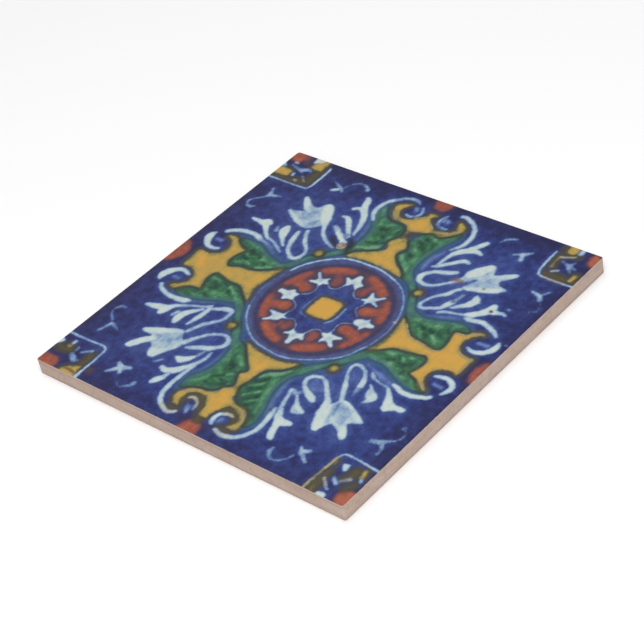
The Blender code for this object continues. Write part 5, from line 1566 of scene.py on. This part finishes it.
def makeGlazeMaterial(look):
    material = bpy.data.materials.new("paintedGlaze")
    material.use_nodes = True
    tree = material.node_tree
    shader = tree.nodes["Principled BSDF"].inputs
    where = millimetres(tree)
    edgeGroup = makeEdgeGroup()

    def separate(vector):
        return addNode(tree, "ShaderNodeSeparateXYZ", {"Vector": vector}).outputs

    def readAttribute(name):
        return separate(addNode(tree, "ShaderNodeAttribute", {}, attribute_name=name).outputs["Vector"])

    def times(first, second):
        return maths(tree, 'MULTIPLY', first, second)

    def addShare(value, amount, base):
        return maths(tree, 'MULTIPLY_ADD', value, amount, base)

    def unevenness(place, scale, detail=3.0):
        # a soft noise from -0.5 to 0.5
        return maths(tree, 'SUBTRACT', softStep(tree, noise(tree, place, scale, detail, 0.6), 0.3, 0.7), 0.5)

    enamel, colours, tones, marks, tints, stains = (
        readAttribute(name) for name in ("enamel", "colours", "tones", "marks", "tints", "stains"))
    shake = times(unevenness(where, look["shakeScale"]), look["wobble"])
    mottle = unevenness(where, look["mottleScale"], 4.0)
    clouds = unevenness(where, look["cloudScale"])
    grain = unevenness(where, look["grainScale"])
    inputs = {"Vector": where, "Rotation": look["streakTurn"], "Scale": look["streakStretch"]}
    brushed = addNode(tree, "ShaderNodeMapping", inputs).outputs["Vector"]
    streaks = unevenness(brushed, look["streakScale"])
    yellowReach, greenReach, rustReach, darkReach = (
        maths(tree, 'ADD', reach, shake) for reach in (colours["X"], colours["Y"], colours["Z"], marks["X"]))

    def varied(value, mottleAmount, streakAmount):
        value = addShare(mottle, mottleAmount, value)
        value = addShare(grain, mottleAmount * 0.4, value)
        return addShare(streaks, streakAmount, value)

    def rimmed(value, amount, reach, rim):
        # a colour is thinner, and so darker, towards its rim
        return addShare(maths(tree, 'SUBTRACT', softStep(tree, reach, *rim), 1.0), amount, value)

    def edge(reach, widths):
        return useGroup(tree, edgeGroup, {"Reach": reach, **widths})

    nearYellow = softStep(tree, colours["X"], *look["nearYellow"])
    nearGreen = softStep(tree, colours["Y"], *look["nearGreen"])
    nearWhite = times(softStep(tree, enamel["X"], *look["nearWhite"]), enamel["Y"])
    awayFromYellow = opposite(tree, nearYellow)

    cloudy = addShare(nearWhite, look["paleNearWhite"], addShare(clouds, look["cloudAmount"], enamel["Z"]))
    groundColour = ramp(tree, varied(cloudy, *look["groundVariety"]), look["groundStops"])
    groundColour = tint(tree, tints["Z"], look["violetShare"], groundColour, look["violet"])
    halo = softStep(tree, yellowReach, *look["oliveHalo"])
    groundColour = tint(tree, halo, look["oliveShare"], groundColour, look["oliveGround"])
    groundColour = tint(tree, stains["Y"], look["hazeShare"], groundColour, look["haze"])
    groundColour = tint(tree, nearGreen, look["tealGroundShare"], groundColour, look["tealGround"])
    yellowTone = rimmed(tones["X"], look["yellowThinning"], yellowReach, look["yellowRim"])
    yellowColour = ramp(tree, varied(yellowTone, *look["yellowVariety"]), look["yellowStops"])
    greenColour = ramp(tree, varied(tones["Y"], *look["greenVariety"]), look["greenStops"])
    greenRim = opposite(tree, softStep(tree, greenReach, *look["greenRim"]))
    tealness = maths(tree, 'MAXIMUM', tints["Y"], times(greenRim, awayFromYellow))
    greenColour = tint(tree, tealness, look["tealShare"], greenColour, look["teal"])
    rustTone = rimmed(tones["Z"], look["rustThinning"], rustReach, look["rustRim"])
    rustColour = ramp(tree, varied(rustTone, *look["rustVariety"]), look["rustStops"])

    # beside the yellow a leaf has a sharp dark line, elsewhere a soft teal one
    greenLine = blendColours(tree, nearYellow, look["tealLine"], look["greenLine"])
    greenSoft = addShare(awayFromYellow, 0.7, 0.5)
    yellowEdge = edge(yellowReach, look["yellowEdge"])
    greenEdge = edge(greenReach, {"Soft": greenSoft, **look["greenEdge"]})
    rustEdge = edge(rustReach, look["rustEdge"])
    darkEdge = edge(darkReach, look["darkEdge"])

    colour = blendColours(tree, rustEdge["Body"], groundColour, rustColour)
    colour = tint(tree, rustEdge["Outline"], look["rustLineShare"], colour, look["rustLine"])
    colour = blendColours(tree, yellowEdge["Body"], colour, yellowColour)
    colour = blendColours(tree, greenEdge["Body"], colour, greenColour)
    outline = maths(tree, 'MULTIPLY', yellowEdge["Outline"], addShare(mottle, 0.5, 0.6), clamp=True)
    colour = blendColours(tree, outline, colour, look["yellowLine"])
    colour = tint(tree, greenEdge["Outline"], look["greenLineShare"], colour, greenLine)
    colour = tint(tree, darkEdge["Body"], look["darkMarkShare"], colour, look["darkMark"])

    # the white enamel is thin and bluish at the edge of a stroke and opaque where it lies thick
    load = addShare(mottle, look["enamelMottle"], enamel["Y"])
    load = addShare(streaks, look["enamelStreak"], addShare(grain, look["enamelGrain"], load))
    depth = softStep(tree, addShare(shake, 0.6, enamel["X"]), *look["enamelDepth"])
    thickness = maths(tree, 'MULTIPLY', maths(tree, 'MAXIMUM', load, 0.0), depth, clamp=True)
    whiteColour = ramp(tree, thickness, look["whiteStops"])
    whiteColour = blendColours(tree, tints["X"], whiteColour, ramp(tree, thickness, look["creamStops"]))
    colour = blendColours(tree, softStep(tree, thickness, 0.03, 0.36), colour, whiteColour)

    # wear shows the clay, and dark grime with painted shade sits round it
    clay = useGroup(tree, clayGroup, {"Vector": where})
    broken = softStep(tree, maths(tree, 'ADD', marks["Y"], times(grain, 0.8)), *look["chipEdge"])
    chipClay = blendColours(tree, softStep(tree, mottle, -0.4, 0.4), look["chipDark"], look["chipPale"])
    colour = blendColours(tree, broken, colour, chipClay)
    stained = times(stains["X"], softStep(tree, mottle, -0.9, 0.1))
    colour = blendColours(tree, stained, colour, look["stain"])
    dirtAndShadeAmount = times(marks["Z"], softStep(tree, grain, -1.1, 0.0))
    colour = blendColours(tree, dirtAndShadeAmount, colour, look["dirtAndShade"])

    # the glaze ends in a slightly ragged line on the sides
    ragged = maths(tree, 'SUBTRACT', noise(tree, where, look["raggedScale"], 3.0), 0.5)
    ragged = times(ragged, look["raggedness"])
    glazed = softStep(tree, maths(tree, 'ADD', separate(where)["Z"], ragged), *look["bareHeights"])
    bare = times(opposite(tree, glazed), opposite(tree, broken))
    colour = blendColours(tree, bare, colour, clay["Color"])
    tree.links.new(colour, shader["Base Color"])

    smoothest = look["roughness"] - look["roughnessRange"] / 2
    inputs = {
        0: maths(tree, 'MAXIMUM', broken, bare),
        2: addShare(noise(tree, where, look["glossScale"], 3.0), look["roughnessRange"], smoothest),
        3: clay["Roughness"],
    }
    roughness = addNode(tree, "ShaderNodeMix", inputs, data_type='FLOAT').outputs[0]
    tree.links.new(roughness, shader["Roughness"])
    shader["Specular IOR Level"].default_value = look["specular"]

    dimples = noise(tree, where, look["dimpleScale"])
    height = addShare(noise(tree, where, look["fineScale"]), look["fineHeight"], dimples)
    height = addShare(thickness, look["enamelHeight"], height)
    tree.links.new(addBump(tree, height, look["bump"]), shader["Normal"])
    return material


glazePiece.data.materials.append(makeGlazeMaterial(glazeLook))
makeActive(glazePiece)
bpy.ops.object.shade_smooth_by_angle(angle=math.radians(glazeSkin["smoothAngle"]))
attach(glazePiece, "root")
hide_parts("tile")
deselectAll()
print("stage: glaze painted,", sum(len(face.vertices) - 2 for face in glazePiece.data.polygons), "triangles")
